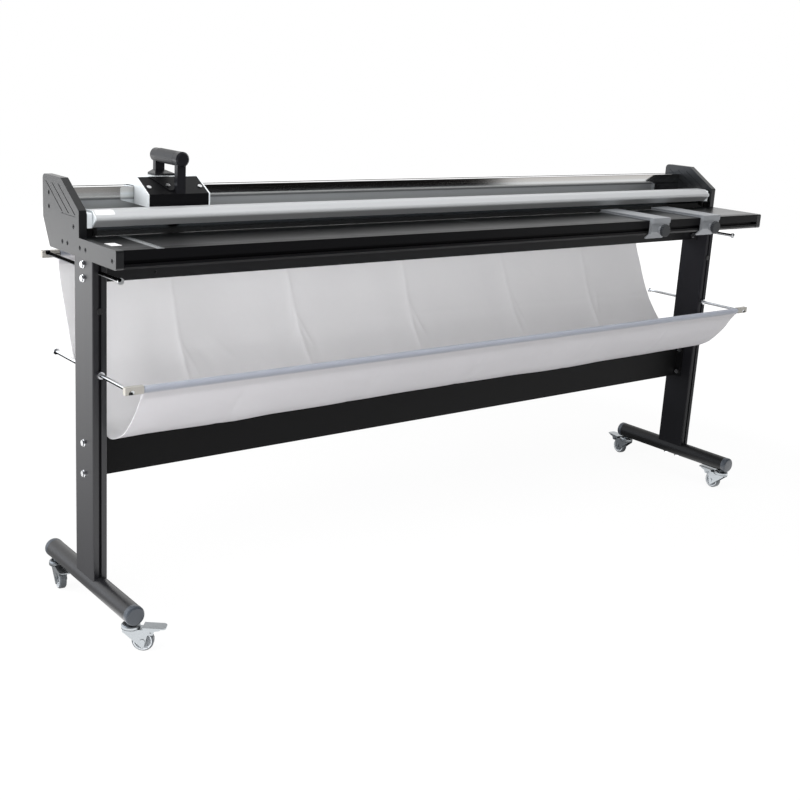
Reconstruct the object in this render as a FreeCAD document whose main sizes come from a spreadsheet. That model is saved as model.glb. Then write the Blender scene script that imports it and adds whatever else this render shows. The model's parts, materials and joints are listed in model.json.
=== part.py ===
import FreeCAD, Part
import math
import os

import Sketcher

# Large-format rotary paper trimmer on a wheeled stand, in millimetres.
# +X runs along the cutting line to the right, -Y is the front, +Z is up, and the origin
# lies on the floor under the middle of the legs.

# Driving sizes. Each is a cell of the sheet, and every sub-part is bound to those cells.
SIZES = {
    # whole machine
    "overall_length": 2200,
    "table_height": 905,
    "table_edge": 42,
    "table_front": 201,
    # moulded end plates, seen from the side
    "plate_thick": 18,
    "plate_margin": 8,
    "plate_rise": 120,
    "plate_crest": 76,
    "plate_nose": 19.5,
    "shoulder_rise": 58,
    "tail_rise": 23,
    "heel_inset": 37,
    "plate_round": 12,
    "plate_corner": 5,
    "groove_width": 4.5,
    "groove_depth": 1.2,
    "groove_pitch": 34,
    "groove_drop": 58,
    "groove_below_top": 15,
    # socket screws of the end plates
    "socket_shank": 5,
    "socket_head": 9.5,
    "socket_head_height": 5,
    "socket_key": 4,
    "socket_sink": 1,
    "socket_length": 27,
    "screw_play": 0.2,
    "rail_screw_inset": 12.5,
    "bed_screw_inset": 10.5,
    "bed_screw_drop": 20,
    "table_screw_drop": 21,
    "table_screw_near": 25,
    "table_screw_far": 53.5,
    "front_screw_inset": 17,
    "front_screw_drop": 24,
    # legs: extruded posts with a slot in front
    "leg_width": 35,
    "leg_depth": 95,
    "leg_inset": 0.5,
    "leg_wall": 3,
    "leg_round": 3,
    "leg_slot": 7,
    "leg_slot_lip": 3,
    "leg_slot_room": 12,
    "leg_slot_depth": 9,
    "leg_plug_height": 14,
    "leg_button": 15,
    "leg_button_thick": 2,
    "leg_button_drop": 118,
    # round tubes along the depth
    "foot_diameter": 46,
    "foot_wall": 3,
    "foot_front": 222,
    "foot_rear": 218,
    "foot_cap": 8,
    "foot_cap_bevel": 3,
    "foot_cap_plug": 8,
    "foot_bolt_spread": 22,
    "saddle_play": 0.1,
    # hexagon bolts
    "bolt_shank": 8,
    "bolt_key": 13,
    "bolt_head_height": 4,
    "bolt_washer": 17,
    "bolt_washer_thick": 1.5,
    "bolt_nut_height": 6.5,
    "bolt_play": 0.4,
    # folded cross beams
    "beam_sheet": 2.5,
    "beam_front": 10,
    "beam_depth": 35,
    "beam_lip": 12,
    "beam_end": 4,
    "beam_end_nose": 12,
    "lower_beam_bottom": 340,
    "lower_beam_height": 107,
    "upper_beam_height": 65.5,
    "lower_bolt_foot": 16,
    "lower_bolt_head": 17,
    "upper_bolt_foot": 14.5,
    "upper_bolt_head": 20,
    "beam_hole": 7,
    "beam_hole_inset": 201,
    "beam_hole_rise": 15.2,
    # table and its profiles
    "table_skin": 2.5,
    "table_cells": 12,
    "front_depth": 25,
    "front_chamfer": 6,
    "slot_drop": 26,
    "slot_opening": 8.4,
    "slot_lip": 3.5,
    "slot_room": 16,
    "slot_depth": 7.5,
    "bed_front": 30,
    "bed_rear": 78,
    "bed_relief": 8,
    "bed_wall": 15,
    "blade_strip_width": 16,
    "blade_strip_thick": 6,
    "ruler_inset": 76,
    "ruler_width": 19,
    "ruler_margin": 1,
    "ruler_sink": 1,
    # guide rail
    "rail_gap": 39,
    "rail_depth": 50,
    "rail_rise": 37,
    "rail_height": 56,
    "rail_wall": 3.5,
    "rail_boss": 17.5,
    "rail_slot": 14,
    "rail_slot_lip": 3,
    "rail_slot_room": 24,
    "rail_slot_depth": 7.5,
    # paper clamp
    "clamp_rear": 25,
    "clamp_rise": 19,
    "clamp_height": 37,
    "clamp_brow": 17,
    "clamp_brow_drop": 13,
    "clamp_chin": 19,
    "clamp_chin_drop": 20,
    "clamp_wall": 2.5,
    "clamp_cap": 3,
    "clamp_recess": 32,
    "clamp_recess_drop": 12,
    "clamp_recess_height": 5,
    "clamp_plug": 8,
    "clamp_pin": 8,
    "clamp_pin_place": 8,
    "clamp_pin_rise": 6.5,
    "clamp_pin_length": 12,
    "spring_outer": 7,
    "spring_inner": 4.4,
    "spring_length": 17.4,
    "guide_front": 10,
    "guide_rear": 24,
    "guide_height": 52,
    "guide_screw_rise": 21,
    "strip_thick": 1.2,
    "strip_reach": 9,
    # cutter head
    "head_inset": 281,
    "head_width": 164,
    "head_plate": 4,
    "head_reach": 70.5,
    "head_overhang": 3,
    "head_skirt": 15,
    "head_brow_drop": 12.5,
    "head_crest_inset": 10,
    "head_rise": 21.5,
    "head_rail_play": 1,
    "cover_sheet": 2,
    "cover_pad": 2,
    "cover_screw": 4,
    "cover_screw_head": 11,
    "cover_screw_dome": 2.2,
    "arm_width": 36,
    "arm_play": 4,
    "shoe_length": 34,
    "shoe_spacing": 104,
    "slide_play": 0.1,
    # round blade
    "blade_diameter": 60,
    "blade_thick": 1.5,
    "blade_bevel": 3,
    "blade_overlap": 1.5,
    "blade_bore": 22,
    "blade_play": 0.06,
    "hub_flange": 34,
    "hub_thick": 7,
    "hub_nose": 2.4,
    "hub_nut": 30,
    "axle_diameter": 8,
    "axle_head": 16,
    "axle_head_thick": 4,
    "spring_washer": 18,
    "spring_washer_thick": 1.2,
    "spring_seat": 1.45,
    # handle
    "handle_place": 5,
    "grip_rise": 46,
    "grip_diameter": 34.5,
    "grip_core": 14,
    "grip_inset": 15.5,
    "grip_length": 92,
    "handle_nose": 22,
    "handle_tail": 25,
    "handle_cap": 35,
    "front_post_width": 22,
    "front_post_inset": 1,
    "rear_post_width": 24,
    "foot_flare": 52,
    "foot_flare_depth": 38,
    "foot_flare_height": 5,
    "foot_flare_rise": 7,
    # paper stops
    "stop_inset_near": 493,
    "stop_inset_far": 262,
    "stop_width": 76,
    "stop_thick": 7.7,
    "stop_rear": 12,
    "stop_groove": 3,
    "stop_play": 0.3,
    "bracket_thick": 10,
    "bracket_head": 15,
    "bracket_proud": 3,
    "bracket_lip": 4,
    "bracket_lip_play": 1,
    "bracket_toe": 14,
    "bracket_boss": 24,
    "bracket_boss_length": 11,
    "bracket_key": 40,
    "knob_diameter": 36,
    "knob_thick": 10,
    "knob_neck": 2,
    "knob_flutes": 18,
    "knob_stud": 8,
    # catcher for the cut paper
    "rod_diameter": 9,
    "rod_head": 15,
    "rod_head_thick": 4,
    "rod_play": 0.2,
    "upper_rod_drop": 33,
    "lower_rod_height": 600,
    "upper_rod_left": 151,
    "upper_rod_right": 134,
    "lower_rod_left": 195,
    "lower_rod_right": 172,
    "collar_diameter": 17,
    "collar_length": 8,
    "front_bar_place": -202,
    "front_bar_lift": 3,
    "front_bar_diameter": 10,
    "rear_bar_place": 235,
    "rear_bar_drop": 1.5,
    "rear_bar_diameter": 12,
    "bar_overhang": 10,
    "clip_depth": 12,
    "clip_inner": 27,
    "clip_outer": 17,
    "clip_height": 17,
    "sheet_thick": 1.5,
    "sheet_play": 0.3,
    # castors
    "castor_front_inset": 17,
    "castor_rear_inset": 20,
    "castor_stem": 10,
    "castor_nut": 16,
    "castor_nut_height": 7,
    "wheel_diameter": 50,
    "wheel_width": 18,
    "wheel_trail": 28,
    "wheel_bore": 8,
    "wheel_play": 0.06,
    "wheel_headroom": 1,
    "fork_play": 1.5,
    "fork_sheet": 2.5,
    "housing_diameter": 43,
    "housing_groove": 38,
    "housing_height": 12.8,
    "castor_collar": 1.7,
    "pedal_pivot_reach": 18.5,
    "pedal_pivot_rise": 22,
    "pedal_pin": 4.4,
    "pedal_near": 29,
    "pedal_reach": 81,
    "pedal_rise": 13,
    "pedal_flange": 5,
    "pedal_sheet": 2.5,
}

# Directions in which the four castors stand, in degrees from +X.
CASTOR_TURNS = {
    "front_left": -38.0,
    "rear_left": -99.0,
    "front_right": 88.0,
    "rear_right": 83.0,
}

AXES = {"XY": ("x", "y"), "XZ": ("x", "z"), "YZ": ("y", "z")}
NORMAL = {"XY": "z", "XZ": "y", "YZ": "x"}


class Size:
    """A length with its value and its formula over the sheet's cells."""

    def __init__(self, value, formula):
        self.value = float(value)
        self.formula = formula

    def __add__(self, other):
        other = as_size(other)
        return Size(self.value + other.value, "(%s + %s)" % (self.formula, other.formula))

    def __sub__(self, other):
        other = as_size(other)
        return Size(self.value - other.value, "(%s - %s)" % (self.formula, other.formula))

    def __mul__(self, other):
        other = as_size(other)
        return Size(self.value * other.value, "(%s * %s)" % (self.formula, other.formula))

    def __truediv__(self, other):
        other = as_size(other)
        return Size(self.value / other.value, "(%s / %s)" % (self.formula, other.formula))

    def __neg__(self):
        return Size(-self.value, "(0 - %s)" % self.formula)

    def __radd__(self, other):
        return as_size(other) + self

    def __rsub__(self, other):
        return as_size(other) - self

    def __rmul__(self, other):
        return as_size(other) * self

    def __lt__(self, other):
        return self.value < as_size(other).value


def as_size(number):
    return number if isinstance(number, Size) else Size(number, repr(float(number)))


def slant(rise, run):
    """The angle in degrees of a slope."""
    rise, run = as_size(rise), as_size(run)
    degrees = math.degrees(math.atan(rise.value / run.value))
    return Size(degrees, "atan(%s / %s)" % (rise.formula, run.formula))


class Sheet:
    """Gives each cell of the sheet as a Size."""

    def __getattr__(self, name):
        return Size(SIZES[name], "Sizes." + name)


doc = FreeCAD.newDocument("paper_trimmer")
cells = doc.addObject("Spreadsheet::Sheet", "Sizes")
for row, (alias, number) in enumerate(SIZES.items(), 1):
    cells.set("A%d" % row, alias)
    cells.set("B%d" % row, str(number))
    cells.setAlias("B%d" % row, alias)
doc.recompute()
s = Sheet()
nodes = []


# Ways of working, used by all the sub-parts

def new_body(label):
    body = doc.addObject("PartDesign::Body", label)
    body.Label = label
    nodes.append(body)
    return body


def plane_of(body, plane):
    role = plane + "_Plane"
    return [feature for feature in body.Origin.OriginFeatures if feature.Role == role][0]


def new_sketch(body, plane, level=0, across=0, along=0):
    """A sketch on a plane of the body's origin. level is its coordinate on the third axis,
    and across and along move its own origin."""
    sketch = body.newObject("Sketcher::SketchObject", body.Label + "_sketch")
    sketch.AttachmentSupport = [(plane_of(body, plane), "")]
    sketch.MapMode = "FlatFace"
    level = -as_size(level) if plane == "XZ" else as_size(level)
    sketch.setExpression(".AttachmentOffset.Base.x", as_size(across).formula)
    sketch.setExpression(".AttachmentOffset.Base.y", as_size(along).formula)
    sketch.setExpression(".AttachmentOffset.Base.z", level.formula)
    return sketch


def hold_point(sketch, geometry, point, across, along):
    """Ties a point of the sketch to its two coordinates."""
    for kind, size in (("DistanceX", across), ("DistanceY", along)):
        index = sketch.addConstraint(
            Sketcher.Constraint(kind, -1, 1, geometry, point, size.value))
        sketch.setExpression("Constraints[%d]" % index, size.formula)


def draw_outline(sketch, outline):
    """Adds a closed outline of straight lines whose corners follow the sheet."""
    corners = [(as_size(u), as_size(v)) for u, v in outline]
    places = [FreeCAD.Vector(u.value, v.value, 0) for u, v in corners]
    lines = []
    for start, end in zip(places, places[1:] + places[:1]):
        lines.append(sketch.addGeometry(Part.LineSegment(start, end), False))
    joins = [Sketcher.Constraint("Coincident", a, 2, b, 1)
             for a, b in zip(lines, lines[1:] + lines[:1])]
    sketch.addConstraint(joins)
    for line, (u, v) in zip(lines, corners):
        hold_point(sketch, line, 1, u, v)


def draw_circle(sketch, across, along, diameter):
    across, along, radius = as_size(across), as_size(along), as_size(diameter) / 2
    centre = FreeCAD.Vector(across.value, along.value, 0)
    circle = Part.Circle(centre, FreeCAD.Vector(0, 0, 1), radius.value)
    index = sketch.addGeometry(circle, False)
    hold_point(sketch, index, 3, across, along)
    rule = sketch.addConstraint(Sketcher.Constraint("Radius", index, radius.value))
    sketch.setExpression("Constraints[%d]" % rule, radius.formula)


def rectangle(u_low, u_high, v_low, v_high):
    return [(u_low, v_low), (u_high, v_low), (u_high, v_high), (u_low, v_high)]


def hexagon(across, along, key):
    """A hexagon of a given width across its flats, with a flat at top and bottom."""
    half = as_size(key) / 2
    tip = half * (2 / math.sqrt(3))
    across, along = as_size(across), as_size(along)
    return [(across + tip, along), (across + tip / 2, along + half),
            (across - tip / 2, along + half), (across - tip, along),
            (across - tip / 2, along - half), (across + tip / 2, along - half)]


def prism(body, plane, low, high, outlines=(), circles=(), cut=False):
    """Adds or cuts a straight prism between two levels on the axis square to the plane."""
    low, high = as_size(low), as_size(high)
    base = high if plane == "XZ" else low
    sketch = new_sketch(body, plane, base)
    for outline in outlines:
        draw_outline(sketch, outline)
    for u, v, diameter in circles:
        draw_circle(sketch, u, v, diameter)
    kind = "PartDesign::Pocket" if cut else "PartDesign::Pad"
    feature = body.newObject(kind, body.Label + ("_cut" if cut else "_pad"))
    feature.Profile = sketch
    feature.setExpression("Length", (high - low).formula)
    feature.Reversed = cut
    return feature


def extrude(body, plane, low, high, outlines=(), circles=()):
    return prism(body, plane, low, high, outlines, circles)


def carve(body, plane, low, high, outlines=(), circles=()):
    return prism(body, plane, low, high, outlines, circles, cut=True)


def corner(plane, u, v):
    """Finds the straight edges square to a plane at one corner of an outline."""
    first, second = AXES[plane]
    u, v = as_size(u).value, as_size(v).value

    def wanted(edge):
        ends = [vertex.Point for vertex in edge.Vertexes]
        near = [abs(getattr(p, first) - u) < 0.01 and abs(getattr(p, second) - v) < 0.01
                for p in ends]
        return len(ends) == 2 and all(near)
    return wanted


def rim(plane, level, diameter):
    """Finds the circular edges of one diameter at one level."""
    axis, level, radius = NORMAL[plane], as_size(level).value, as_size(diameter).value / 2

    def wanted(edge):
        if edge.Curve.TypeId != "Part::GeomCircle":
            return False
        centre = edge.Curve.Center
        return abs(getattr(centre, axis) - level) < 0.01 and abs(edge.Curve.Radius - radius) < 0.01
    return wanted


def soften(body, tests, size, bevel=False):
    """Rounds or bevels the edges that the tests find on the body's last feature."""
    doc.recompute()
    base = body.Tip
    names = ["Edge%d" % number for number, edge in enumerate(base.Shape.Edges, 1)
             if any(test(edge) for test in tests)]
    if not names:
        raise RuntimeError("no edge to soften on " + body.Label)
    kind = "PartDesign::Chamfer" if bevel else "PartDesign::Fillet"
    feature = body.newObject(kind, body.Label + ("_bevel" if bevel else "_round"))
    feature.Base = (base, names)
    feature.setExpression("Size" if bevel else "Radius", as_size(size).formula)
    return feature


# Places shared by several sub-parts, worked out from the floor and from the cutting edge
SIDES = (("left", -1), ("right", 1))
half_length = s.overall_length / 2
plate_inner = half_length - s.plate_thick
table_bottom = s.table_height - s.table_edge
leg_place = plate_inner - s.leg_inset - s.leg_width / 2
leg_inner = leg_place - s.leg_width / 2
leg_outer = leg_place + s.leg_width / 2
front_back = s.front_depth - s.table_front

wheel_height = s.wheel_diameter / 2
housing_bottom = s.wheel_diameter + s.wheel_headroom
housing_top = housing_bottom + s.housing_height
foot_bottom = housing_top + s.castor_collar
foot_axis = foot_bottom + s.foot_diameter / 2
foot_top = foot_axis + s.foot_diameter / 2
castor_front = s.foot_front - s.castor_front_inset
castor_rear = s.foot_rear - s.castor_rear_inset

lower_beam_top = s.lower_beam_bottom + s.lower_beam_height
upper_beam_bottom = table_bottom - s.upper_beam_height
upper_rod_height = table_bottom - s.upper_rod_drop
front_bar_height = s.lower_rod_height + s.front_bar_lift
rear_bar_height = upper_rod_height - s.rear_bar_drop
slot_height = s.table_height - s.slot_drop

rail_front = s.bed_rear + s.rail_gap
rail_rear = rail_front + s.rail_depth
rail_middle = rail_front + s.rail_depth / 2
rail_bottom = s.table_height + s.rail_rise
rail_top = rail_bottom + s.rail_height
plate_rear = rail_rear + s.plate_margin
plate_top = s.table_height + s.plate_rise

clamp_bottom = s.table_height + s.clamp_rise
clamp_top = clamp_bottom + s.clamp_height
clamp_pin_height = clamp_bottom + s.clamp_pin_rise

# Screws of the end plates, as places on the side view, and what each holds
RAIL_SCREWS = [(rail_middle - 2, rail_top - s.rail_screw_inset),
               (rail_middle - 2, rail_bottom + s.rail_screw_inset)]
BED_SCREWS = [(s.bed_rear - s.bed_screw_inset, s.table_height - s.bed_screw_drop),
              (s.bed_front + s.bed_screw_inset, s.table_height - s.bed_screw_drop)]
TABLE_SCREWS = [(-s.table_screw_near, s.table_height - s.table_screw_drop),
                (-s.table_screw_far, s.table_height - s.table_screw_drop)]
FRONT_SCREWS = [(s.front_screw_inset - s.table_front, s.table_height - s.front_screw_drop)]
GUIDE_SCREWS = [(s.clamp_pin_place, s.table_height + s.guide_screw_rise)]
LONG_SCREWS = RAIL_SCREWS + BED_SCREWS + TABLE_SCREWS + FRONT_SCREWS
screw_bore = s.socket_shank + s.screw_play


def between(side, near, far):
    """Orders two distances from the middle as levels on the X axis of one side."""
    near, far = as_size(near), as_size(far)
    return (near, far) if side > 0 else (-far, -near)


def screw_ports(body, places, depth):
    """Bores for the plates' screws in both ends of a piece that runs between the plates."""
    circles = [(y, z, screw_bore) for y, z in places]
    for _, side in SIDES:
        low, high = between(side, plate_inner - depth, plate_inner)
        carve(body, "YZ", low, high, circles=circles)


# End plates: moulded plates with slanted grooves on both faces and sunk screws

def end_plate(name, side):
    body = new_body("end_plate_" + name)
    low, high = between(side, plate_inner, half_length)
    outline = [
        (-s.table_front, table_bottom),
        (plate_rear - s.heel_inset, table_bottom),
        (plate_rear, s.table_height + s.tail_rise),
        (plate_rear, plate_top),
        (s.plate_crest, plate_top),
        (-s.plate_nose, s.table_height + s.shoulder_rise),
        (-s.plate_nose, s.table_height),
        (-s.table_front, s.table_height),
    ]
    extrude(body, "YZ", low, high, [outline])
    soften(body, [corner("YZ", *outline[3])], s.plate_round)
    small = [corner("YZ", *outline[place]) for place in (0, 1, 2, 4, 5, 7)]
    soften(body, small, s.plate_corner)

    slope = (s.plate_crest + s.plate_nose) / (s.plate_rise - s.shoulder_rise)
    top = plate_top - s.groove_below_top
    foot = top - s.groove_drop
    run = s.groove_drop * slope
    grooves = []
    for count in (1, 2, 3):
        y = s.plate_crest - s.groove_below_top * slope + s.groove_pitch * count
        grooves.append([(y, top), (y + s.groove_width, top),
                        (y + s.groove_width - run, foot), (y - run, foot)])
    first = grooves[0][3][0]
    last = grooves[-1][2][0]
    grooves.append(rectangle(first, last, foot - s.groove_width, foot - s.groove_width / 2))
    for near, far in ((plate_inner, plate_inner + s.groove_depth),
                      (half_length - s.groove_depth, half_length)):
        carve(body, "YZ", *between(side, near, far), grooves)

    places = LONG_SCREWS + GUIDE_SCREWS
    sink = s.socket_head_height + s.socket_sink
    carve(body, "YZ", *between(side, half_length - sink, half_length),
          circles=[(y, z, s.socket_head + 1) for y, z in places])
    carve(body, "YZ", low, high, circles=[(y, z, screw_bore) for y, z in places])


for name, side in SIDES:
    end_plate(name, side)


def plate_screws():
    body = new_body("plate_screws")
    for _, side in SIDES:
        top = half_length - s.socket_sink
        seat = top - s.socket_head_height
        places = LONG_SCREWS + GUIDE_SCREWS
        extrude(body, "YZ", *between(side, seat, top),
                circles=[(y, z, s.socket_head) for y, z in places])
        extrude(body, "YZ", *between(side, seat - s.socket_length, seat),
                circles=[(y, z, s.socket_shank) for y, z in LONG_SCREWS])
        extrude(body, "YZ", *between(side, plate_inner - 3, seat),
                circles=[(y, z, s.socket_shank) for y, z in GUIDE_SCREWS])
        carve(body, "YZ", *between(side, top - 3, top),
              [hexagon(y, z, s.socket_key) for y, z in places])


plate_screws()


# Legs: extruded posts with a slot in front, coped onto the round foot tubes

upper_bolts = [upper_beam_bottom + s.upper_bolt_foot, table_bottom - s.upper_bolt_head]
lower_bolts = [s.lower_beam_bottom + s.lower_bolt_foot, lower_beam_top - s.lower_bolt_head]
beam_bolts = [(0, z) for z in upper_bolts + lower_bolts]


def leg(name, side):
    body = new_body("leg_" + name)
    low, high = between(side, leg_inner, leg_outer)
    x = leg_place * side
    half_depth = s.leg_depth / 2
    front, rear = -half_depth, half_depth
    post = rectangle(low, high, front, rear)
    extrude(body, "XY", foot_axis, table_bottom, [post])
    soften(body, [corner("XY", u, v) for u, v in post], s.leg_round)
    lip = front + s.leg_slot_lip
    slot = [(x - s.leg_slot / 2, front - 1), (x + s.leg_slot / 2, front - 1),
            (x + s.leg_slot / 2, lip), (x + s.leg_slot_room / 2, lip),
            (x + s.leg_slot_room / 2, front + s.leg_slot_depth),
            (x - s.leg_slot_room / 2, front + s.leg_slot_depth),
            (x - s.leg_slot_room / 2, lip), (x - s.leg_slot / 2, lip)]
    carve(body, "XY", foot_axis, table_bottom, [slot])
    room = rectangle(low + s.leg_wall, high - s.leg_wall,
                     front + s.leg_slot_depth + s.leg_wall, rear - s.leg_wall)
    carve(body, "XY", foot_top + s.leg_plug_height, table_bottom, [room])
    saddle = (x, foot_axis, s.foot_diameter + s.saddle_play * 2)
    carve(body, "XZ", front - 1, rear + 1, circles=[saddle])
    bore = s.bolt_shank + s.bolt_play
    carve(body, "YZ", low, high, circles=[(y, z, bore) for y, z in beam_bolts])
    rod_bore = s.rod_diameter + s.rod_play
    carve(body, "XZ", front, rear, circles=[(x, upper_rod_height, rod_bore),
                                            (x, s.lower_rod_height, rod_bore)])
    carve(body, "XY", foot_axis, foot_top + s.leg_plug_height,
          circles=[(x, s.foot_bolt_spread * way, bore) for way in (-1, 1)])


for name, side in SIDES:
    leg(name, side)


def foot_tube(name, side):
    body = new_body("foot_tube_" + name)
    x = leg_place * side
    extrude(body, "XZ", -s.foot_front, s.foot_rear, circles=[(x, foot_axis, s.foot_diameter)])
    hollow = s.foot_diameter - s.foot_wall * 2
    carve(body, "XZ", -s.foot_front, s.foot_rear, circles=[(x, foot_axis, hollow)])
    bore = s.castor_stem + s.bolt_play
    carve(body, "XY", foot_bottom, foot_axis,
          circles=[(x, -castor_front, bore), (x, castor_rear, bore)])
    bolt = s.bolt_shank + s.bolt_play
    carve(body, "XY", foot_bottom, foot_top,
          circles=[(x, s.foot_bolt_spread * way, bolt) for way in (-1, 1)])


for name, side in SIDES:
    foot_tube(name, side)


def foot_caps():
    body = new_body("foot_caps")
    places = [leg_place * side for _, side in SIDES]
    plug = s.foot_diameter - s.foot_wall * 2 - 0.2
    front, rear = -s.foot_front, s.foot_rear
    outer_front, outer_rear = front - s.foot_cap, rear + s.foot_cap
    extrude(body, "XZ", outer_front, front, circles=[(x, foot_axis, s.foot_diameter) for x in places])
    extrude(body, "XZ", rear, outer_rear, circles=[(x, foot_axis, s.foot_diameter) for x in places])
    extrude(body, "XZ", front, front + s.foot_cap_plug, circles=[(x, foot_axis, plug) for x in places])
    extrude(body, "XZ", rear - s.foot_cap_plug, rear, circles=[(x, foot_axis, plug) for x in places])
    soften(body, [rim("XZ", outer_front, s.foot_diameter), rim("XZ", outer_rear, s.foot_diameter)],
           s.foot_cap_bevel, bevel=True)


foot_caps()


def leg_plugs():
    body = new_body("leg_plugs")
    face = -s.leg_depth / 2
    height = table_bottom - s.leg_button_drop
    places = [leg_place * side for _, side in SIDES]
    outer = face - s.leg_button_thick
    extrude(body, "XZ", outer, face,
            circles=[(x, height, s.leg_button) for x in places])
    extrude(body, "XZ", face, face + s.leg_slot_lip,
            circles=[(x, height, s.leg_slot - 0.4) for x in places])
    soften(body, [rim("XZ", outer, s.leg_button)], s.leg_button_thick / 2)


leg_plugs()


# Cross beams: folded channels, open at the back, with welded end plates

def beam(label, bottom, top, bolt_heights):
    body = new_body(label)
    front, rear = s.beam_front, s.beam_front + s.beam_depth
    wall = s.beam_sheet
    channel = [
        (front, bottom), (rear, bottom), (rear, bottom + s.beam_lip),
        (rear - wall, bottom + s.beam_lip), (rear - wall, bottom + wall),
        (front + wall, bottom + wall), (front + wall, top - wall),
        (rear - wall, top - wall), (rear - wall, top - s.beam_lip),
        (rear, top - s.beam_lip), (rear, top), (front, top),
    ]
    extrude(body, "YZ", -leg_inner, leg_inner, [channel])
    soften(body, [corner("YZ", front, bottom), corner("YZ", front, top)], wall)
    plate = rectangle(-s.beam_end_nose, rear, bottom, top)
    for _, side in SIDES:
        extrude(body, "YZ", *between(side, leg_inner - s.beam_end, leg_inner), [plate])
    bore = s.bolt_shank + s.bolt_play
    for _, side in SIDES:
        carve(body, "YZ", *between(side, leg_inner - s.beam_end, leg_inner),
              circles=[(0, z, bore) for z in bolt_heights])
    return body


beam("lower_beam", s.lower_beam_bottom, lower_beam_top, lower_bolts)
upper = beam("upper_beam", upper_beam_bottom, table_bottom, upper_bolts)
carve(upper, "XZ", s.beam_front, s.beam_front + s.beam_sheet,
      circles=[(s.beam_hole_inset - half_length, upper_beam_bottom + s.beam_hole_rise, s.beam_hole)])


def leg_bolts():
    """Bolts of the beams through the legs, and of the legs through the foot tubes."""
    body = new_body("leg_bolts")
    inner_seat = leg_inner - s.beam_end
    washer_top = leg_outer + s.bolt_washer_thick
    for _, side in SIDES:
        extrude(body, "YZ", *between(side, leg_outer, washer_top),
                circles=[(y, z, s.bolt_washer) for y, z in beam_bolts])
        extrude(body, "YZ", *between(side, washer_top, washer_top + s.bolt_head_height),
                [hexagon(y, z, s.bolt_key) for y, z in beam_bolts])
        extrude(body, "YZ", *between(side, inner_seat - s.bolt_nut_height, leg_outer),
                circles=[(y, z, s.bolt_shank) for y, z in beam_bolts])
        extrude(body, "YZ", *between(side, inner_seat - s.bolt_nut_height, inner_seat),
                [hexagon(y, z, s.bolt_key) for y, z in beam_bolts])
    feet = [(leg_place * side, s.foot_bolt_spread * way) for _, side in SIDES for way in (-1, 1)]
    seat = foot_top + s.leg_plug_height
    extrude(body, "XY", foot_bottom - s.bolt_head_height, foot_bottom,
            [hexagon(x, y, s.bolt_key) for x, y in feet])
    extrude(body, "XY", foot_bottom, seat, circles=[(x, y, s.bolt_shank) for x, y in feet])
    extrude(body, "XY", seat, seat + s.bolt_nut_height,
            [hexagon(x, y, s.bolt_key) for x, y in feet])


leg_bolts()


# Table: a folded steel top, stiffened by ribs, between two extruded profiles

ruler_low = -plate_inner + s.ruler_inset
ruler_high = ruler_low + s.ruler_width
ruler_floor = s.table_height - s.ruler_sink


def table_top():
    body = new_body("table_top")
    front, rear = front_back, s.bed_front
    extrude(body, "YZ", -plate_inner, plate_inner,
            [rectangle(front, rear, table_bottom, s.table_height)])
    step = (plate_inner * 2 - s.table_skin) / s.table_cells
    start = -plate_inner + s.table_skin
    cell = rectangle(start, start + step - s.table_skin, front + s.table_skin, rear - s.table_skin)
    pocket = carve(body, "XY", table_bottom, s.table_height - s.table_skin, [cell])
    doc.recompute()
    row = body.newObject("PartDesign::LinearPattern", "table_cells")
    row.Originals = [pocket]
    row.Direction = (pocket.Profile[0], ["H_Axis"])
    row.setExpression("Length", (step * (s.table_cells - 1)).formula)
    row.setExpression("Occurrences", s.table_cells.formula)
    body.Tip = row
    doc.recompute()
    carve(body, "XY", ruler_floor, s.table_height, [rectangle(ruler_low, ruler_high, front, 0)])
    screw_ports(body, TABLE_SCREWS, s.table_skin)


table_top()


def front_profile():
    body = new_body("front_profile")
    front = -s.table_front
    rear = front + s.front_depth
    lip = front + s.slot_lip
    back = lip + s.slot_depth
    mouth, room = s.slot_opening / 2, s.slot_room / 2
    middle = slot_height
    outline = [
        (rear, table_bottom), (front + s.front_chamfer, table_bottom),
        (front, table_bottom + s.front_chamfer),
        (front, middle - mouth), (lip, middle - mouth), (lip, middle - room),
        (back, middle - room), (back, middle + room), (lip, middle + room),
        (lip, middle + mouth), (front, middle + mouth),
        (front, s.table_height), (rear, s.table_height),
    ]
    extrude(body, "YZ", -plate_inner, plate_inner, [outline])
    soften(body, [corner("YZ", front, s.table_height)], 2.5)
    carve(body, "XY", ruler_floor, s.table_height,
          [rectangle(ruler_low, ruler_high, front + s.ruler_margin, rear)])
    screw_ports(body, FRONT_SCREWS, 20)


front_profile()


def cutting_bed():
    body = new_body("cutting_bed")
    front, rear = s.bed_front, s.bed_rear - 1
    ledge = s.bed_rear - s.blade_strip_width
    shelf = s.table_height - s.blade_strip_thick
    outline = [
        (front, table_bottom), (rear - s.bed_relief, table_bottom),
        (rear, table_bottom + s.bed_relief), (rear, shelf), (ledge, shelf),
        (ledge, s.table_height), (front, s.table_height),
    ]
    extrude(body, "YZ", -plate_inner, plate_inner, [outline])
    room = rectangle(front + s.bed_wall, ledge, table_bottom + 4, shelf - 3)
    carve(body, "YZ", -plate_inner, plate_inner, [room])
    screw_ports(body, BED_SCREWS, 20)


cutting_bed()


def counter_blade():
    """The fixed lower blade, ground back a little under its cutting edge."""
    body = new_body("counter_blade")
    front, rear = s.bed_rear - s.blade_strip_width, s.bed_rear
    low = s.table_height - s.blade_strip_thick
    land = s.table_height - s.blade_strip_thick / 3
    extrude(body, "YZ", -plate_inner, plate_inner, [[
        (front, low), (rear - 1, low), (rear, land), (rear, s.table_height),
        (front, s.table_height)]])


counter_blade()


def ruler_strip():
    body = new_body("ruler_strip")
    play = 0.1
    extrude(body, "XY", ruler_floor, s.table_height - play,
            [rectangle(ruler_low + play, ruler_high - play,
                       s.ruler_margin + play - s.table_front, -play)])


ruler_strip()


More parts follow.
